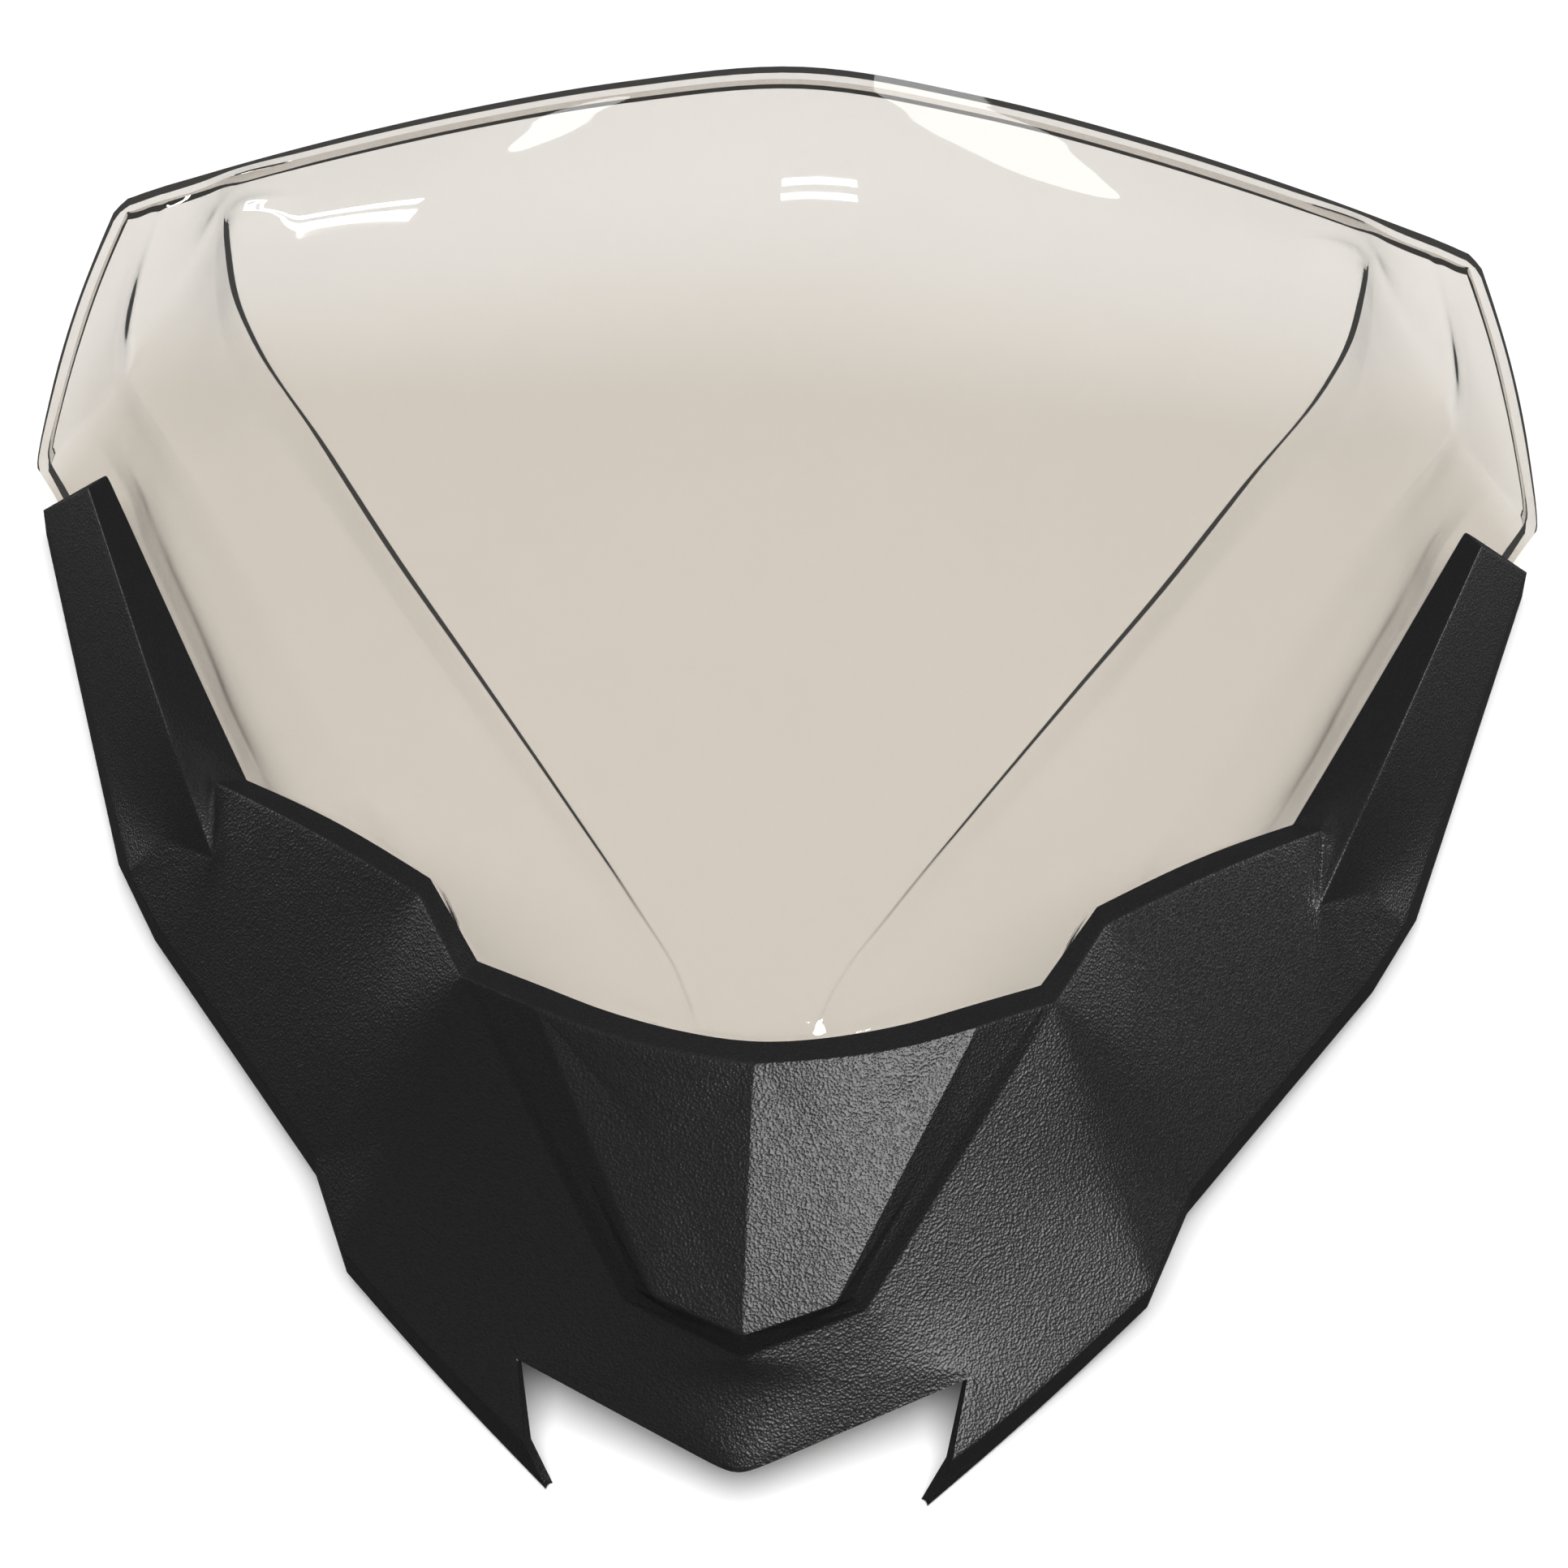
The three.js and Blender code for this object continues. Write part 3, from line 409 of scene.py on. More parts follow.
# ---------------------------------------------------------------- lower shell: what is moulded inside
BOSS_RADIUS = 5.0
BOSS_START = 1.2        # above the middle of the washer
POSTS = ((147, 150), (176, 186))
POST_RADIUS = 6.0
POST_FOOT = 27.3
PAD = (100, 80)
PAD_RADIUS = 7.0
PAD_FOOT = 14.0
BROKEN_EDGE = 0.4
INTO_SKIN = 1.0         # how far a pillar's top reaches into the shell's skin
PILOT_RADIUS = 2.35
PILOT_START = -3.0      # below the pillar's free end, so that the cut is clean
PILOT_POINT = 0.6
POST_PILOT = 9.0


def skin_above(tree, point, axis, beyond=None):
    """How far the shell's inner face lies from a point along an axis, in millimetres."""
    _, _, _, distance = tree.ray_cast(point, axis)
    return beyond if distance is None else distance / MM


def pillar(tree, radius, low, centre, axis):
    """A moulded pillar with a broken edge at its free end. Its top follows the shell's inner face and
    lies just inside the skin."""
    axis = Vector(axis)
    centre = Vector(centre)
    turn = Vector(UP).rotation_difference(axis)
    middle = skin_above(tree, centre, axis)
    around = []
    for i in range(ROUND_STEPS):
        angle = 2 * math.pi * i / ROUND_STEPS
        around.append(turn @ Vector((math.cos(angle), math.sin(angle), 0)) * MM)
    bm = bmesh.new()
    bottom = bm.verts.new(centre + axis * low * MM)
    rings = []
    for size, lift in ((radius - BROKEN_EDGE, 0), (radius, BROKEN_EDGE)):
        rings.append([bm.verts.new(centre + out * size + axis * (low + lift) * MM) for out in around])
    top_ring = []
    for out in around:
        foot = centre + out * radius
        reach = skin_above(tree, foot, axis, middle) + INTO_SKIN
        top_ring.append(bm.verts.new(foot + axis * reach * MM))
    rings.append(top_ring)
    top = bm.verts.new(centre + axis * (middle + INTO_SKIN) * MM)
    for i in range(ROUND_STEPS):
        j = (i + 1) % ROUND_STEPS
        bm.faces.new([bottom, rings[0][j], rings[0][i]])
        bm.faces.new([top, rings[-1][i], rings[-1][j]])
        for lower, upper in zip(rings, rings[1:]):
            bm.faces.new([lower[i], lower[j], upper[j], upper[i]])
    return mesh_object("pillar", bm)


def moulded_pillars(shell):
    """The screw bosses, the plate posts and the rest pads, each up to just inside the shell's skin."""
    tree = piece_tree(shell)
    made = []
    for centre, axis, _ in clamp_places():
        made.append(pillar(tree, BOSS_RADIUS, BOSS_START, centre, axis))
    feet = [(*post, POST_FOOT, POST_RADIUS) for post in POSTS]
    feet.append((*PAD, PAD_FOOT, PAD_RADIUS))
    for side in (1, -1):
        for x, y, z, radius in feet:
            made.append(pillar(tree, radius, 0, to_frame((side * x, y, z)), UP))
    return made


def pilot_holes():
    """The holes that the screws bite into."""
    places = clamp_places()
    for side in (1, -1):
        places += [(to_frame((side * x, y, POST_FOOT)), UP, POST_PILOT) for x, y in POSTS]
    made = []
    for centre, axis, depth in places:
        profile = [(0, PILOT_START), (PILOT_RADIUS, PILOT_START), (PILOT_RADIUS, depth),
                   (0, depth + PILOT_POINT)]
        made.append(turned("pilot", profile, centre, axis))
    return made


def lower_shell():
    bm, patches, holds = shell_cage()
    hold_corners(bm, patches, holds)
    hold_free_edge(bm, patches, holds)
    round_patches(bm, patches)
    shell = mesh_object("shell_moulding", bm)
    rounding = shell.modifiers.new("rounding", "SUBSURF")
    rounding.levels = rounding.render_levels = ROUNDING_LEVELS
    apply_modifiers(shell)
    combine(shell, moulded_pillars(shell), "UNION")
    combine(shell, pilot_holes(), "DIFFERENCE")
    smooth(shell)
    return shell


# ---------------------------------------------------------------- tinted screen: outline
SHEET = 4.0
CLEARANCE_RADIUS = 5.6
CLEARANCE_REACH = 9.0   # to both sides of the washer's middle, through the whole sheet
SCREEN_SHARP_ANGLE = 50
BEAD_DEPTH = 5.0
BEAD_WIDTH = 5.5
BEAD_WALL = 0.6
BEAD_LEAN = 0.25        # how far the edge face leans out at its foot, as a share of the bead's depth
BEAD_LINES = 2          # the bead's wall and its edge are the last two lines of the net
BEAD_SIDE_ROWS = 8      # the last rows, whose sides carry the bead
CORNER_CUT = 0.4        # how far the top corner is pulled in, as a share of the bead's diagonal
COLUMNS = ("centre", "panel_a", "panel_b", "panel_c", "crease", "foot", "bay_a", "bay_b", "bay_c",
           "ridge", "facet", "joggle_top", "joggle_foot", "bead", "bead_wall", "edge")
# How softly a line bends at a column: 1 is a smooth bend, and 0 a sharp corner.
BEAD_EASE = 0.05
COLUMN_EASE = {"foot": 0.6, "ridge": 0.7, "joggle_top": 0.7, "joggle_foot": 0.6,
               "bead": BEAD_EASE, "bead_wall": BEAD_EASE, "edge": BEAD_EASE}
# How soft the crease is along its length: (row, ease), sharpest where it turns toward the top.
CREASE_EASE = ((0, 0.8), (5, 0.6), (8, 0.25), (11, 0.1), (12.5, 0.1), (13.5, 0.4), (14.5, 1.0))
# These columns are one smooth face above the widest row.
UPPER_SIDE = ("bay_c", "ridge", "facet", "joggle_top", "joggle_foot")
BEAD_STEPS = (2, 4)
COLUMN_STEPS = (8, 8, 8, 10, 8, 6, 6, 6, 8, 6, 8, 8, 8, *BEAD_STEPS)
ROW_STEPS = 7
SCREEN_DEPTH = 6.2      # from the shell's outer face to the tucked screen
TUCKED_ROWS = [
    {"centre": (0, 88), "crease": (15, 89.5), "foot": (18, 90),
     "bay": [(64, 118), (104, 136), (131, 170)], "ridge": (147, 181), "facet": (168, 194),
     "joggle_top": (194, 213), "joggle_foot": (203, 218), "edge": (219, 226)},
    {"centre": (0, 117.8), "crease": (17, 120), "foot": (20, 120.5),
     "bay": [(60, 132.5), (94, 148.4), (114, 182.5)], "ridge": (131, 196), "facet": (156, 215.4),
     "joggle_top": (184, 234.6), "joggle_foot": (195.5, 239), "edge": (227, 235)},
]
BEHIND_RIM = {
    "centre": (0, 127.5, 99.3), "crease": (17, 129.5, 98.8), "foot": (21, 130.5, 98),
    "bay": [(58, 142.5, 94.6), (92, 159, 90.3), (112, 194, 84)],
    "ridge": (128, 207, 77.5), "facet": (150.5, 225, 69), "joggle_top": (178, 243, 57),
    "joggle_foot": (186.5, 249, 50.5), "edge": (229.7, 239.4, 16.5),
}
# Rows of the open part: the middle, the crease and the foot of the raised panel, the side ridge,
# the top and the foot of the joggle beside the fork, and the outer edge.
OPEN_ROWS = [
    [(0, 146, 105), (25, 148, 104), (28.5, 147, 101), (142, 229, 80), (184, 254, 58.3),
     (191.5, 257, 51), (233, 248, 16)],
    [(0, 171, 109), (42, 175, 106), (46, 174, 101), (156, 254, 80), (192, 268, 58),
     (199, 271, 50), (240, 264, 16)],
    [(0, 207, 115.5), (68, 213, 108), (72.5, 211, 99.8), (170, 278, 79.5), (202, 286, 57.3),
     (209, 289, 48.8), (247.5, 283, 16)],
    [(0, 256, 123.5), (103, 263, 110.5), (107.5, 259, 98.7), (182, 299, 78.5), (212, 306, 56.4),
     (219, 308, 47), (255, 302, 16)],
    [(0, 307, 130.5), (138, 313, 112), (142, 308, 98), (198, 326, 76.5), (223, 327, 55.2),
     (230, 328, 45), (263, 322, 16)],
    [(0, 360, 137), (172, 365, 113.5), (177, 358, 97.5), (214.5, 353, 74), (234.5, 348, 53.6),
     (241.5, 349, 43.2), (272, 344, 16)],
    [(0, 412, 142), (205, 415, 114), (212, 406, 98), (236, 388, 71.5), (248, 374, 51),
     (255, 374, 40), (283, 371, 16)],
    [(0, 440, 144.5), (217, 440, 114), (224.5, 434, 100), (250, 409, 69.5), (262, 402, 47.5),
     (271.5, 409.5, 36), (303, 415, 12.5)],
    [(0, 470, 147), (225, 467, 113), (231, 463, 103.5), (262, 427, 67.5), (268.5, 413, 47),
     (279, 420, 37), (306.5, 421.5, 12)],
    [(0, 497, 148.6), (229.5, 488, 112), (234, 487, 107), (270, 441, 66), (281, 439, 54.5),
     (293, 436.5, 41.5), (315, 432, 19)],
    [(0, 511, 149.2), (231, 498, 111), (236, 494.5, 107), (272.5, 459, 72), (282.5, 459, 62),
     (293, 459, 52.5), (309.5, 458, 40)],
    [(0, 523, 149.6), (232.2, 506, 110), (239, 501.8, 104.9), (271, 482, 81), (280, 483, 74),
     (288, 483.5, 69), (300.5, 484, 61)],
    [(0, 535, 149.9), (233.3, 514, 109), (241, 511.7, 104.6), (266.5, 504, 90), (275, 504.5, 85.5),
     (281.5, 505, 82), (291.5, 505, 76.5)],
    [(0, 546, 150), (234, 521, 108), (243, 520.8, 104.6), (262, 520.4, 97.5), (271, 520.3, 93.7),
     (277, 520.2, 91), (284, 520, 88)],
]
WIDEST_ROW = 9          # of the open rows: the side corner of the screen
TOP_LINES = 3           # the top row and the two lines that border its bead
CORNER_EASE = 0.3       # at the side corner and at the end of the raised panel
PANEL_STEPS = (0.3, 0.6, 0.85)
PANEL_CROWN = (1, 1.25, 1.6)    # how x, y and z run from the middle of the panel to its crease
BAY_STEPS = (0.3, 0.6, 0.82)
BAY_SAG = 3.0
BAY_FLAT_ROWS = 5       # over these last rows the sag fades out
# The small wall that ends the raised panel above the rim: where its foot and its top lie between the
# rim's row and the first open row, and how far they drop and rise.
PANEL_END_PLACES = (0.2, 0.45)
PANEL_END_DROP = 0.75
PANEL_END_RISE = 0.9
RAY_START = 1.0         # metres above the floor, higher than the whole part


def mix(a, b, t):
    return np.asarray(a, float) * (1 - t) + np.asarray(b, float) * t


def toward(start, end, distance):
    """The point that lies a distance from start on the way to end."""
    start, end = np.asarray(start, float), np.asarray(end, float)
    return start + (end - start) * distance / np.linalg.norm(end - start)


def finish_row(inner_points, edge):
    """A row's points with the two lines that border the edge bead, and the edge itself."""
    last = inner_points[-1]
    bead = toward(edge, last, BEAD_WIDTH)
    wall = toward(edge, last, BEAD_WIDTH - BEAD_WALL)
    return np.array([*inner_points, bead, wall, edge], float)


def open_row(points, index):
    """A row of the open part, from its seven given points."""
    sag = BAY_SAG * min(1, (len(OPEN_ROWS) - 1 - index) / BAY_FLAT_ROWS)
    centre, crease, foot, ridge, joggle_top, joggle_foot, edge = [np.array(p, float) for p in points]
    panel = []
    for t in PANEL_STEPS:
        panel.append(centre + (crease - centre) * [t ** power for power in PANEL_CROWN])
    bay = []
    for t in BAY_STEPS:
        bay.append(mix(foot, ridge, t) - (0, 0, sag * 4 * t * (1 - t)))
    facet = mix(ridge, joggle_top, 0.5)
    return finish_row([centre, *panel, crease, foot, *bay, ridge, facet, joggle_top, joggle_foot], edge)


def named_row(row):
    """A row of the hidden part, from its named points."""
    panel = [mix(row["centre"], row["crease"], t) for t in PANEL_STEPS]
    side = [row[name] for name in ("ridge", "facet", "joggle_top", "joggle_foot")]
    return finish_row([row["centre"], *panel, row["crease"], row["foot"], *row["bay"], *side], row["edge"])


def tuck(tree, plan):
    """The point of the screen below the shell at a point of the plan."""
    x, y = to_frame((*plan, 0))[:2]
    hit, normal, _, _ = tree.ray_cast(Vector((x, y, RAY_START)), -Vector(UP))
    height = to_datum(hit)[2] - SCREEN_DEPTH / abs(normal.z)
    return (*plan, height)


def tucked_row(tree, row):
    sunk = {name: tuck(tree, plan) for name, plan in row.items() if name != "bay"}
    sunk["bay"] = [tuck(tree, plan) for plan in row["bay"]]
    return named_row(sunk)


def panel_end_rows(below, above):
    """Two rows at the foot and the top of the small wall that ends the raised panel."""
    foot, top = [mix(below, above, place) for place in PANEL_END_PLACES]
    panel = slice(COLUMNS.index("crease") + 1)
    foot[panel, 2] -= PANEL_END_DROP
    top[panel, 2] += PANEL_END_RISE
    return [foot, top]


def top_rows(row, below):
    """The top row, after the two lines that border its bead."""
    bead = np.array([toward(p, q, BEAD_WIDTH) for p, q in zip(row, below)])
    wall = np.array([toward(p, q, BEAD_WIDTH - BEAD_WALL) for p, q in zip(row, below)])
    return [bead, wall, row]


def screen_net():
    """The control points of the whole outer face: rows from the tucked end to the top edge."""
    tree = piece_tree(NODES["lower_shell"])
    rows = [tucked_row(tree, row) for row in TUCKED_ROWS]
    rows.append(named_row(BEHIND_RIM))
    open_rows = [open_row(points, index) for index, points in enumerate(OPEN_ROWS)]
    rows += panel_end_rows(rows[-1], open_rows[0])
    rows += open_rows[:-1]
    rows += top_rows(open_rows[-1], open_rows[-2])
    right = np.array(rows)
    right[-1, -1] = mix(right[-1, -1], right[-3, -3], CORNER_CUT)
    left = right[:, :0:-1] * (-1, 1, 1)
    return np.concatenate([left, right], axis=1)


def mirrored(values):
    """Values of the columns from the middle outward, for the whole width."""
    return list(values[:0:-1]) + list(values)


def inner_net(net):
    """The net of the inner face, a sheet below the outer one and deeper along the bead."""
    rows, columns = net.shape[:2]
    corner_normals = [[[] for _ in range(columns)] for _ in range(rows)]
    for r in range(rows - 1):
        for c in range(columns - 1):
            cell = [(r, c), (r, c + 1), (r + 1, c + 1), (r + 1, c)]
            normal = face_normal([net[i] for i in cell])
            for i, j in cell:
                corner_normals[i][j].append(normal)
    made = net.copy()
    for r in range(rows):
        for c in range(columns):
            made[r, c] += mitred_shift(corner_normals[r][c], SHEET)
            side_bead = min(c, columns - 1 - c) < BEAD_LINES and r >= rows - BEAD_SIDE_ROWS
            if side_bead or r >= rows - BEAD_LINES:
                made[r, c, 2] -= BEAD_DEPTH
    leaning = slice(rows - BEAD_SIDE_ROWS - 1, rows)
    side = np.sign(made[leaning, [0, -1], 0:1])
    made[leaning, [0, -1]] += side * (BEAD_DEPTH * BEAD_LEAN, 0, 0)
    made[-1, :, 1] += BEAD_DEPTH * BEAD_LEAN
    return made


def eased_line(net, ease, steps):
    """Samples smooth lines through the net's first axis. An ease of 1 at a point is a smooth bend,
    and 0 a sharp corner."""
    gap = np.linalg.norm(np.diff(net, axis=0), axis=2, keepdims=True)
    slope = np.diff(net, axis=0) / gap
    tangent = np.empty_like(net)
    tangent[0], tangent[-1] = slope[0], slope[-1]
    tangent[1:-1] = (slope[:-1] * gap[1:] + slope[1:] * gap[:-1]) / (gap[:-1] + gap[1:])
    tangent = tangent * ease
    parts = []
    for i, count in enumerate(steps):
        t = np.linspace(0, 1, count + 1)[: count + (i == len(steps) - 1)].reshape(-1, 1, 1)
        line = (2 * t ** 3 - 3 * t ** 2 + 1) * net[i] + (3 * t ** 2 - 2 * t ** 3) * net[i + 1]
        line = line + (t ** 3 - 2 * t ** 2 + t) * gap[i] * tangent[i]
        line = line + (t ** 3 - t ** 2) * gap[i] * tangent[i + 1]
        parts.append(line)
    return np.concatenate(parts)


def fine_face(net):
    """The smooth face through a net."""
    rows, columns = net.shape[:2]
    row_ease = np.ones((rows, columns, 1))
    row_ease[-TOP_LINES:] = BEAD_EASE
    side = len(COLUMNS) - COLUMNS.index("ridge")
    widest = rows - TOP_LINES - (len(OPEN_ROWS) - 1 - WIDEST_ROW)
    row_ease[widest, :side] = CORNER_EASE
    row_ease[widest, -side:] = CORNER_EASE
    panel_end = len(TUCKED_ROWS) + 1
    row_ease[panel_end: panel_end + len(PANEL_END_PLACES)] = CORNER_EASE
    row_steps = [ROW_STEPS] * (rows - TOP_LINES) + list(BEAD_STEPS)
    lines = eased_line(net, row_ease, row_steps)
    height = np.interp(np.arange(len(lines)), np.cumsum([0] + row_steps), np.arange(rows))
    upper = np.clip(height - widest + 0.5, 0, 1)
    column_ease = []
    for name in mirrored(COLUMNS):
        ease = COLUMN_EASE.get(name, 1.0)
        if name == "crease":
            ease = np.interp(height, *zip(*CREASE_EASE))
        column_ease.append(ease + (1 - ease) * upper * (name in UPPER_SIDE))
    across = eased_line(lines.transpose(1, 0, 2), np.array(column_ease)[:, :, None],
                        list(COLUMN_STEPS[::-1]) + list(COLUMN_STEPS))
    return across.transpose(1, 0, 2)


def screen_mesh():
    """The closed solid between the outer and the inner face."""
    net = screen_net()
    faces = [fine_face(net), fine_face(inner_net(net))]
    bm = bmesh.new()
    outer, inner = [[[bm.verts.new(to_frame(p)) for p in row] for row in face] for face in faces]
    rows, columns = len(outer), len(outer[0])
    for r in range(rows - 1):
        for c in range(columns - 1):
            bm.faces.new([outer[r][c], outer[r][c + 1], outer[r + 1][c + 1], outer[r + 1][c]])
            bm.faces.new([inner[r + 1][c], inner[r + 1][c + 1], inner[r][c + 1], inner[r][c]])
    around = [(0, c) for c in range(columns)] + [(r, columns - 1) for r in range(1, rows)]
    around += [(rows - 1, c) for c in range(columns - 2, -1, -1)] + [(r, 0) for r in range(rows - 2, 0, -1)]
    for (r, c), (s, d) in zip(around, around[1:] + around[:1]):
        bm.faces.new([outer[s][d], outer[r][c], inner[r][c], inner[s][d]])
    return mesh_object("screen_moulding", bm)


def tinted_screen():
    screen = screen_mesh()
    profile = [(0, -CLEARANCE_REACH), (CLEARANCE_RADIUS, -CLEARANCE_REACH),
               (CLEARANCE_RADIUS, CLEARANCE_REACH), (0, CLEARANCE_REACH)]
    holes = [turned("hole", profile, centre, axis) for centre, axis, _ in clamp_places()]
    combine(screen, holes, "DIFFERENCE")
    smooth(screen, SCREEN_SHARP_ANGLE)
    return screen


# ---------------------------------------------------------------- materials
CLOUD_SCALE = 9
GRAIN_SCALE = 1250      # cells of a little under a millimetre
GRAIN_DEPTH = 0.4
HARDWARE_BEVEL = 0.25
HARDWARE_BEVEL_ANGLE = 50


def material(name, colour, roughness, **sockets):
    """A material with its nodes, its links and its shader."""
    made = bpy.data.materials.new(name)
    made.use_nodes = True
    shader = made.node_tree.nodes["Principled BSDF"]
    shader.inputs["Base Color"].default_value = (*colour, 1)
    shader.inputs["Roughness"].default_value = roughness
    for socket, value in sockets.items():
        shader.inputs[socket.replace("_", " ")].default_value = value
    return made, made.node_tree.nodes, made.node_tree.links, shader


def vary(nodes, links, shader, value, colours, roughness):
    """Lets a pattern lead the colour and the roughness from their first value to their second."""
    ramp = nodes.new("ShaderNodeValToRGB")
    for stop, colour in zip(ramp.color_ramp.elements, colours):
        stop.color = (*colour, 1)
    links.new(value, ramp.inputs["Fac"])
    links.new(ramp.outputs["Color"], shader.inputs["Base Color"])
    rough = nodes.new("ShaderNodeMapRange")
    rough.inputs["To Min"].default_value, rough.inputs["To Max"].default_value = roughness
    links.new(value, rough.inputs["Value"])
    links.new(rough.outputs["Result"], shader.inputs["Roughness"])


def tinted_polycarbonate():
    """Clear tinted glass, which lets the studio light through to what lies below."""
    made, nodes, links, shader = material("tinted_polycarbonate", (0.80, 0.765, 0.72), 0.02, IOR=1.585,
                                          Transmission_Weight=1.0)
    place = nodes.new("ShaderNodeTexCoord")
    cloud = nodes.new("ShaderNodeTexNoise")
    cloud.inputs["Scale"].default_value = CLOUD_SCALE
    links.new(place.outputs["Object"], cloud.inputs["Vector"])
    vary(nodes, links, shader, cloud.outputs["Fac"], ((0.785, 0.75, 0.702), (0.815, 0.78, 0.738)),
         (0.01, 0.03))
    clear = nodes.new("ShaderNodeBsdfTransparent")
    clear.inputs["Color"].default_value = (0.87, 0.85, 0.82, 1)
    path = nodes.new("ShaderNodeLightPath")
    either = nodes.new("ShaderNodeMath")
    either.operation = "MAXIMUM"
    links.new(path.outputs["Is Shadow Ray"], either.inputs[0])
    links.new(path.outputs["Is Diffuse Ray"], either.inputs[1])
    blend = nodes.new("ShaderNodeMixShader")
    links.new(either.outputs[0], blend.inputs["Fac"])
    links.new(shader.outputs["BSDF"], blend.inputs[1])
    links.new(clear.outputs["BSDF"], blend.inputs[2])
    links.new(blend.outputs["Shader"], nodes["Material Output"].inputs["Surface"])
    return made


def black_plastic():
    """Moulded plastic with a fine leather-like grain."""
    made, nodes, links, shader = material("grained_black_plastic", (0.0118, 0.0116, 0.0122), 0.36,
                                          Specular_IOR_Level=0.22)
    place = nodes.new("ShaderNodeTexCoord")
    grain = nodes.new("ShaderNodeTexVoronoi")
    grain.feature = "SMOOTH_F1"
    grain.inputs["Scale"].default_value = GRAIN_SCALE
    links.new(place.outputs["Object"], grain.inputs["Vector"])
    bump = nodes.new("ShaderNodeBump")
    bump.inputs["Strength"].default_value = 0.6
    bump.inputs["Distance"].default_value = GRAIN_DEPTH * MM
    links.new(grain.outputs["Distance"], bump.inputs["Height"])
    links.new(bump.outputs["Normal"], shader.inputs["Normal"])
    vary(nodes, links, shader, grain.outputs["Distance"],
         ((0.0135, 0.0133, 0.0139), (0.0095, 0.0093, 0.0099)), (0.4, 0.32))
    return made


def patterned(name, colours, roughness, scale, relief, cells=False, stretch=(1, 1, 1), **sockets):
    """A finish whose colour, roughness and relief follow one pattern, from its first value to its
    second. The pattern is cloudy, or a field of cells."""
    made, nodes, links, shader = material(name, colours[0], roughness[0], **sockets)
    place = nodes.new("ShaderNodeTexCoord")
    spread = nodes.new("ShaderNodeMapping")
    spread.inputs["Scale"].default_value = stretch
    links.new(place.outputs["Object"], spread.inputs["Vector"])
    pattern = nodes.new("ShaderNodeTexVoronoi" if cells else "ShaderNodeTexNoise")
    pattern.inputs["Scale"].default_value = scale
    links.new(spread.outputs["Vector"], pattern.inputs["Vector"])
    value = pattern.outputs["Distance" if cells else "Fac"]
    vary(nodes, links, shader, value, colours, roughness)
    bump = nodes.new("ShaderNodeBump")
    bump.inputs["Strength"].default_value = 0.6
    bump.inputs["Distance"].default_value = relief
    links.new(value, bump.inputs["Height"])
    links.new(bump.outputs["Normal"], shader.inputs["Normal"])
    return made


def hardware_finishes():
    """The finish of each kind of carried-over CAD node, by the start of its name."""
    foam = patterned("foam", ((0.012, 0.012, 0.012), (0.045, 0.045, 0.044)), (0.95, 0.8), 900, 0.0005,
                     cells=True)
    rubber = patterned("rubber", ((0.02, 0.02, 0.02), (0.045, 0.044, 0.043)), (0.6, 0.8), 260, 0.0001)
    zinc = patterned("zinc_steel", ((0.5, 0.51, 0.53), (0.72, 0.72, 0.71)), (0.22, 0.42), 120, 0.00005,
                     stretch=(1, 1, 9), Metallic=1.0)
    black = patterned("black_steel", ((0.018, 0.018, 0.02), (0.05, 0.05, 0.052)), (0.35, 0.55), 320,
                      0.00008, Specular_IOR_Level=0.5)
    return {"rim_gasket": foam, "mount_grommet": rubber, "clamp_washer": zinc, "mount_sleeve": zinc,
            "quarter_turn_stud": zinc, "stud_cross_pin": zinc, "clamp_screw": black,
            "plate_screw": black, "mount_plate": black}


def finish_hardware():
    """Gives the carried-over CAD nodes their finishes and broken edges."""
    for start, finish in hardware_finishes().items():
        for name, node in NODES.items():
            if name.startswith(start):
                for slot in node.material_slots:
                    slot.material = finish
                edge = node.modifiers.new("broken_edges", "BEVEL")
                edge.width = HARDWARE_BEVEL * MM
                edge.segments = 2
                edge.angle_limit = math.radians(HARDWARE_BEVEL_ANGLE)


# ---------------------------------------------------------------- assembly
POLYCARBONATE = tinted_polycarbonate()
PLASTIC = black_plastic()

screen_piece = tinted_screen()
screen_piece.data.materials.append(POLYCARBONATE)
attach(screen_piece, BODY)
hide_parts("tinted_screen")
screen_piece.visible_glossy = False

shell_piece = lower_shell()
shell_piece.data.materials.append(PLASTIC)
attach(shell_piece, BODY)
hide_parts("lower_shell")

finish_hardware()


# ---------------------------------------------------------------- stage, light and camera
FLOOR_SIZE = 6
FLOOR_GAP = 0.0005
SKY_STRENGTH = 0.06
CEILING = 2.4           # height of the lights that the screen mirrors
TUBE_GAP = 0.09
TUBE_WIDTH = 0.04
CAMERA_TARGET = to_frame((5, 263, 52))
CAMERA_DISTANCE = 0.832
CAMERA_ELEVATION = 55.0
CAMERA_AZIMUTH = 0.53
CAMERA_ROLL = 2.0
CAMERA_FIELD = 38.0
CAMERA_CLIP = 0.01


def floor():
    """A plain pale floor, which the gloss of the part doesn't mirror."""
    bm = bmesh.new()
    bmesh.ops.create_grid(bm, x_segments=1, y_segments=1, size=FLOOR_SIZE)
    made = mesh_object("floor", bm)
    made.location.z = CAD_LOW.z - FLOOR_GAP
    surface, _, _, _ = material("pale_floor", (0.86, 0.86, 0.86), 0.9)
    made.data.materials.append(surface)
    made.visible_glossy = False


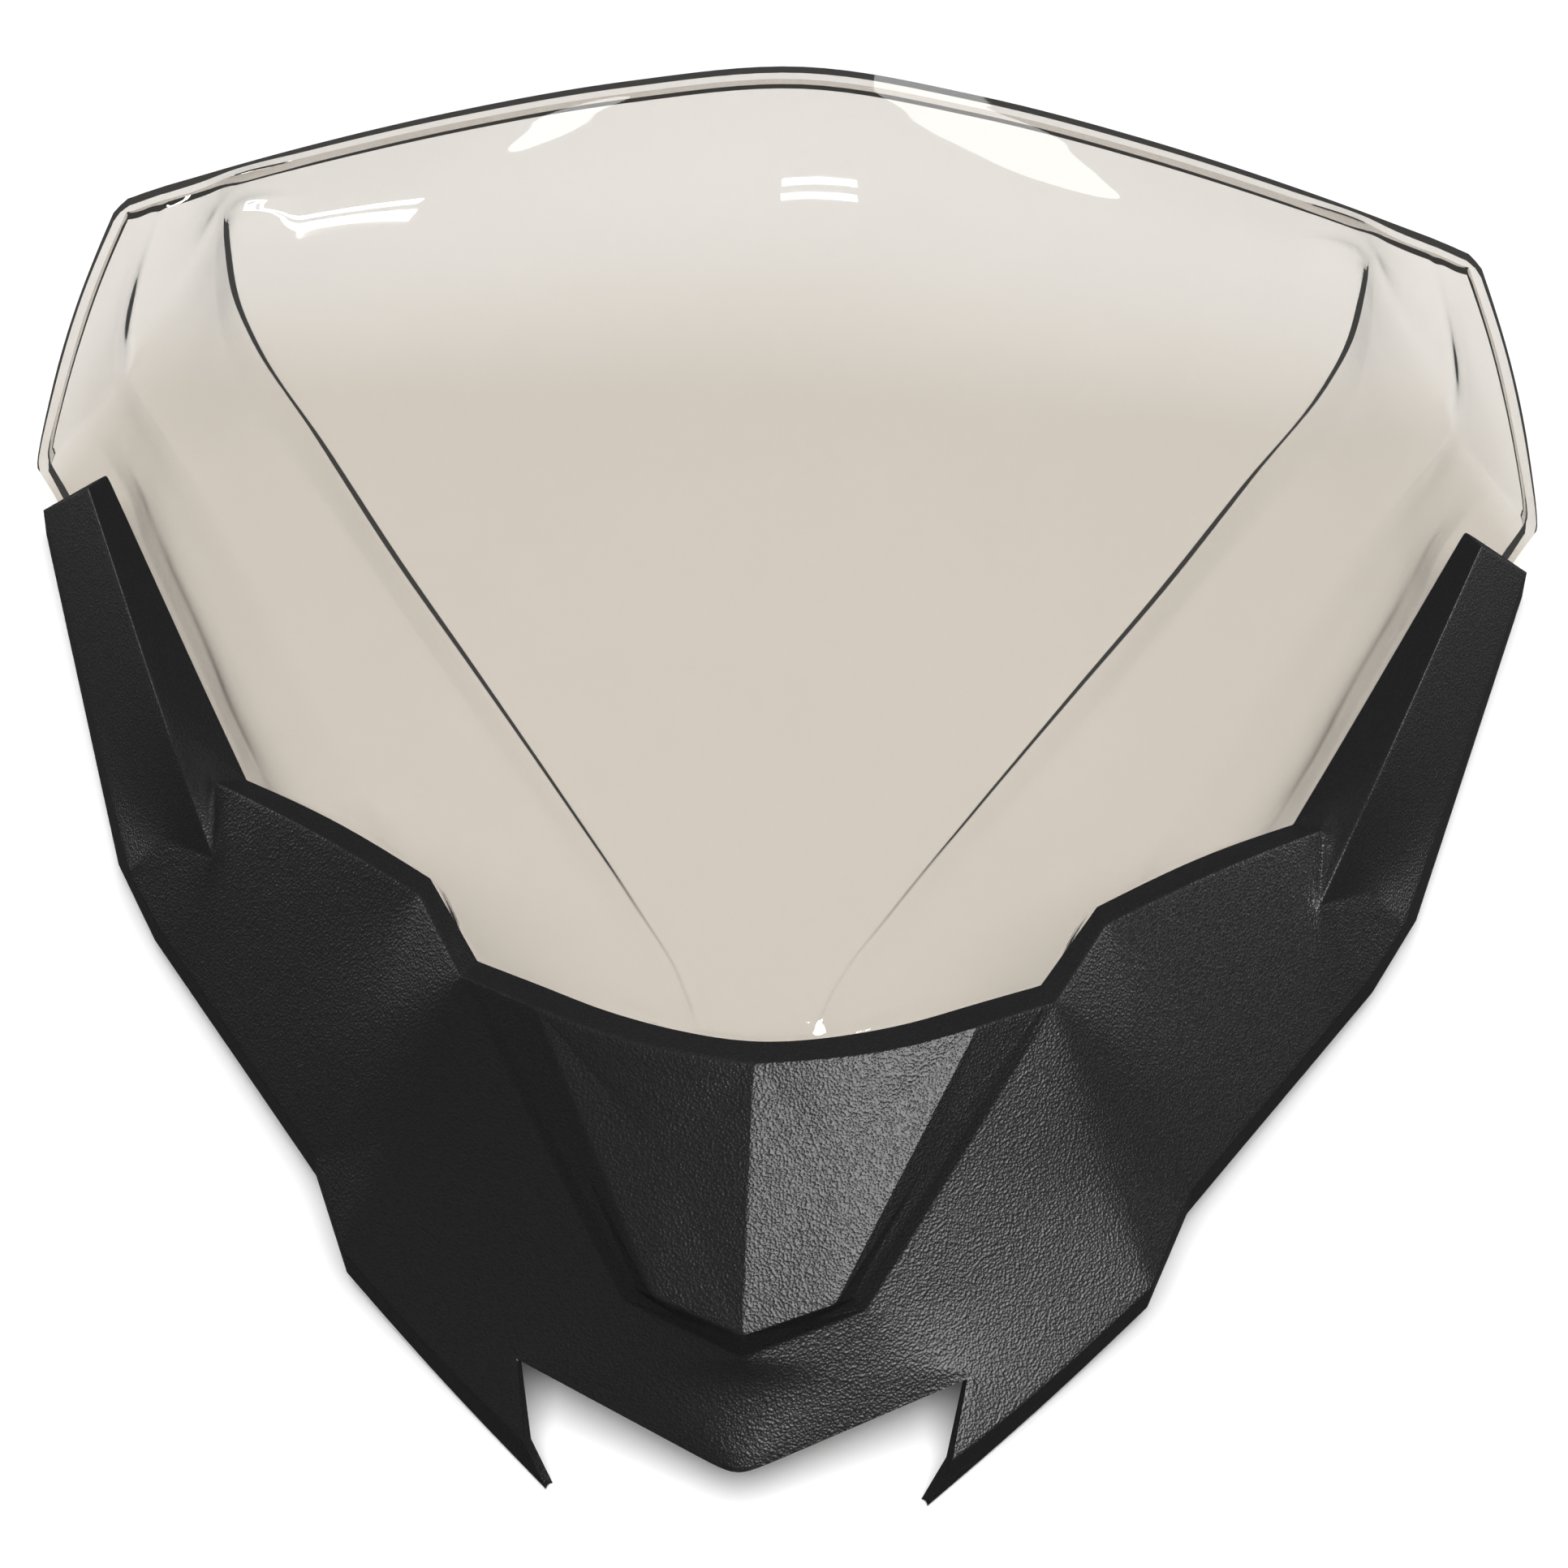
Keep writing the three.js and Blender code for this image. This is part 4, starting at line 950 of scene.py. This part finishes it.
def area_light(name, place, target, size, energy, size_y=None, shape="RECTANGLE", turn=0, glossy=True,
               diffuse=True, only=None):
    """A light that shines toward a target. It can leave out gloss or plain surfaces, or light only
    one piece."""
    data = bpy.data.lights.new(name, "AREA")
    data.shape = shape
    data.size = size
    data.size_y = size_y or size
    data.energy = energy
    made = bpy.data.objects.new(name, data)
    bpy.context.scene.collection.objects.link(made)
    made.location = place
    facing = (Vector(target) - Vector(place)).to_track_quat("-Z", "Y")
    made.rotation_euler = (facing @ Quaternion((0, 0, 1), math.radians(turn))).to_euler()
    made.visible_glossy = glossy
    made.visible_diffuse = diffuse
    made.visible_transmission = False
    if only:
        lit = bpy.data.collections.new(name)
        lit.objects.link(only)
        made.light_linking.receiver_collection = lit


def ceiling_light(name, x, y, size, size_y, energy, **more):
    """A light that shines straight down from the ceiling."""
    area_light(name, (x, y, CEILING), (x, y, 0), size, energy, size_y=size_y, **more)


def camera():
    data = bpy.data.cameras.new("camera")
    data.angle = math.radians(CAMERA_FIELD)
    data.clip_start = CAMERA_CLIP
    made = bpy.data.objects.new("camera", data)
    bpy.context.scene.collection.objects.link(made)
    azimuth, elevation = math.radians(CAMERA_AZIMUTH), math.radians(CAMERA_ELEVATION)
    back = Vector((math.sin(azimuth) * math.cos(elevation), -math.cos(azimuth) * math.cos(elevation),
                   math.sin(elevation)))
    made.location = Vector(CAMERA_TARGET) + back * CAMERA_DISTANCE
    facing = (-back).to_track_quat("-Z", "Y")
    made.rotation_mode = "QUATERNION"
    made.rotation_quaternion = facing @ Quaternion((0, 0, 1), math.radians(CAMERA_ROLL))
    bpy.context.scene.camera = made


def world():
    made = bpy.data.worlds.new("studio")
    made.use_nodes = True
    sky = made.node_tree.nodes["Background"]
    sky.inputs["Color"].default_value = (1, 1, 1, 1)
    sky.inputs["Strength"].default_value = SKY_STRENGTH
    bpy.context.scene.world = made


floor()
world()
camera()
area_light("soft_box", (0, -0.3, 2.6), (0, 0.1, 0), 2.4, 113, glossy=False)
area_light("window", (0.97, -1.24, 1.28), (0, 0.1, 0), 1.1, 80, size_y=0.7, diffuse=False)
for name, side, energy in (("side_left", -1, 14), ("side_right", 1, 20)):
    area_light(name, (side * 1.9, 0.9, 0.3), (side * 0.25, 0.15, 0), 1.2, energy, size_y=0.5,
               diffuse=False, only=shell_piece)
# What the screen mirrors: two pairs of tubes and two round windows.
for gap in (0, TUBE_GAP):
    ceiling_light("tube_left", -2.2, 3.1 + gap, 1.25, TUBE_WIDTH, 2.2, turn=-34)
    ceiling_light("tube_middle", 0.1, 2.2 + gap, 0.46, TUBE_WIDTH, 0.9, turn=5)
ceiling_light("round_right", 0.97, 3.1, 1.0, 0.6, 5, shape="ELLIPSE")
ceiling_light("round_left", -1.24, 3.25, 0.5, 0.3, 1.4, shape="ELLIPSE")
bpy.context.scene.view_settings.view_transform = "Standard"
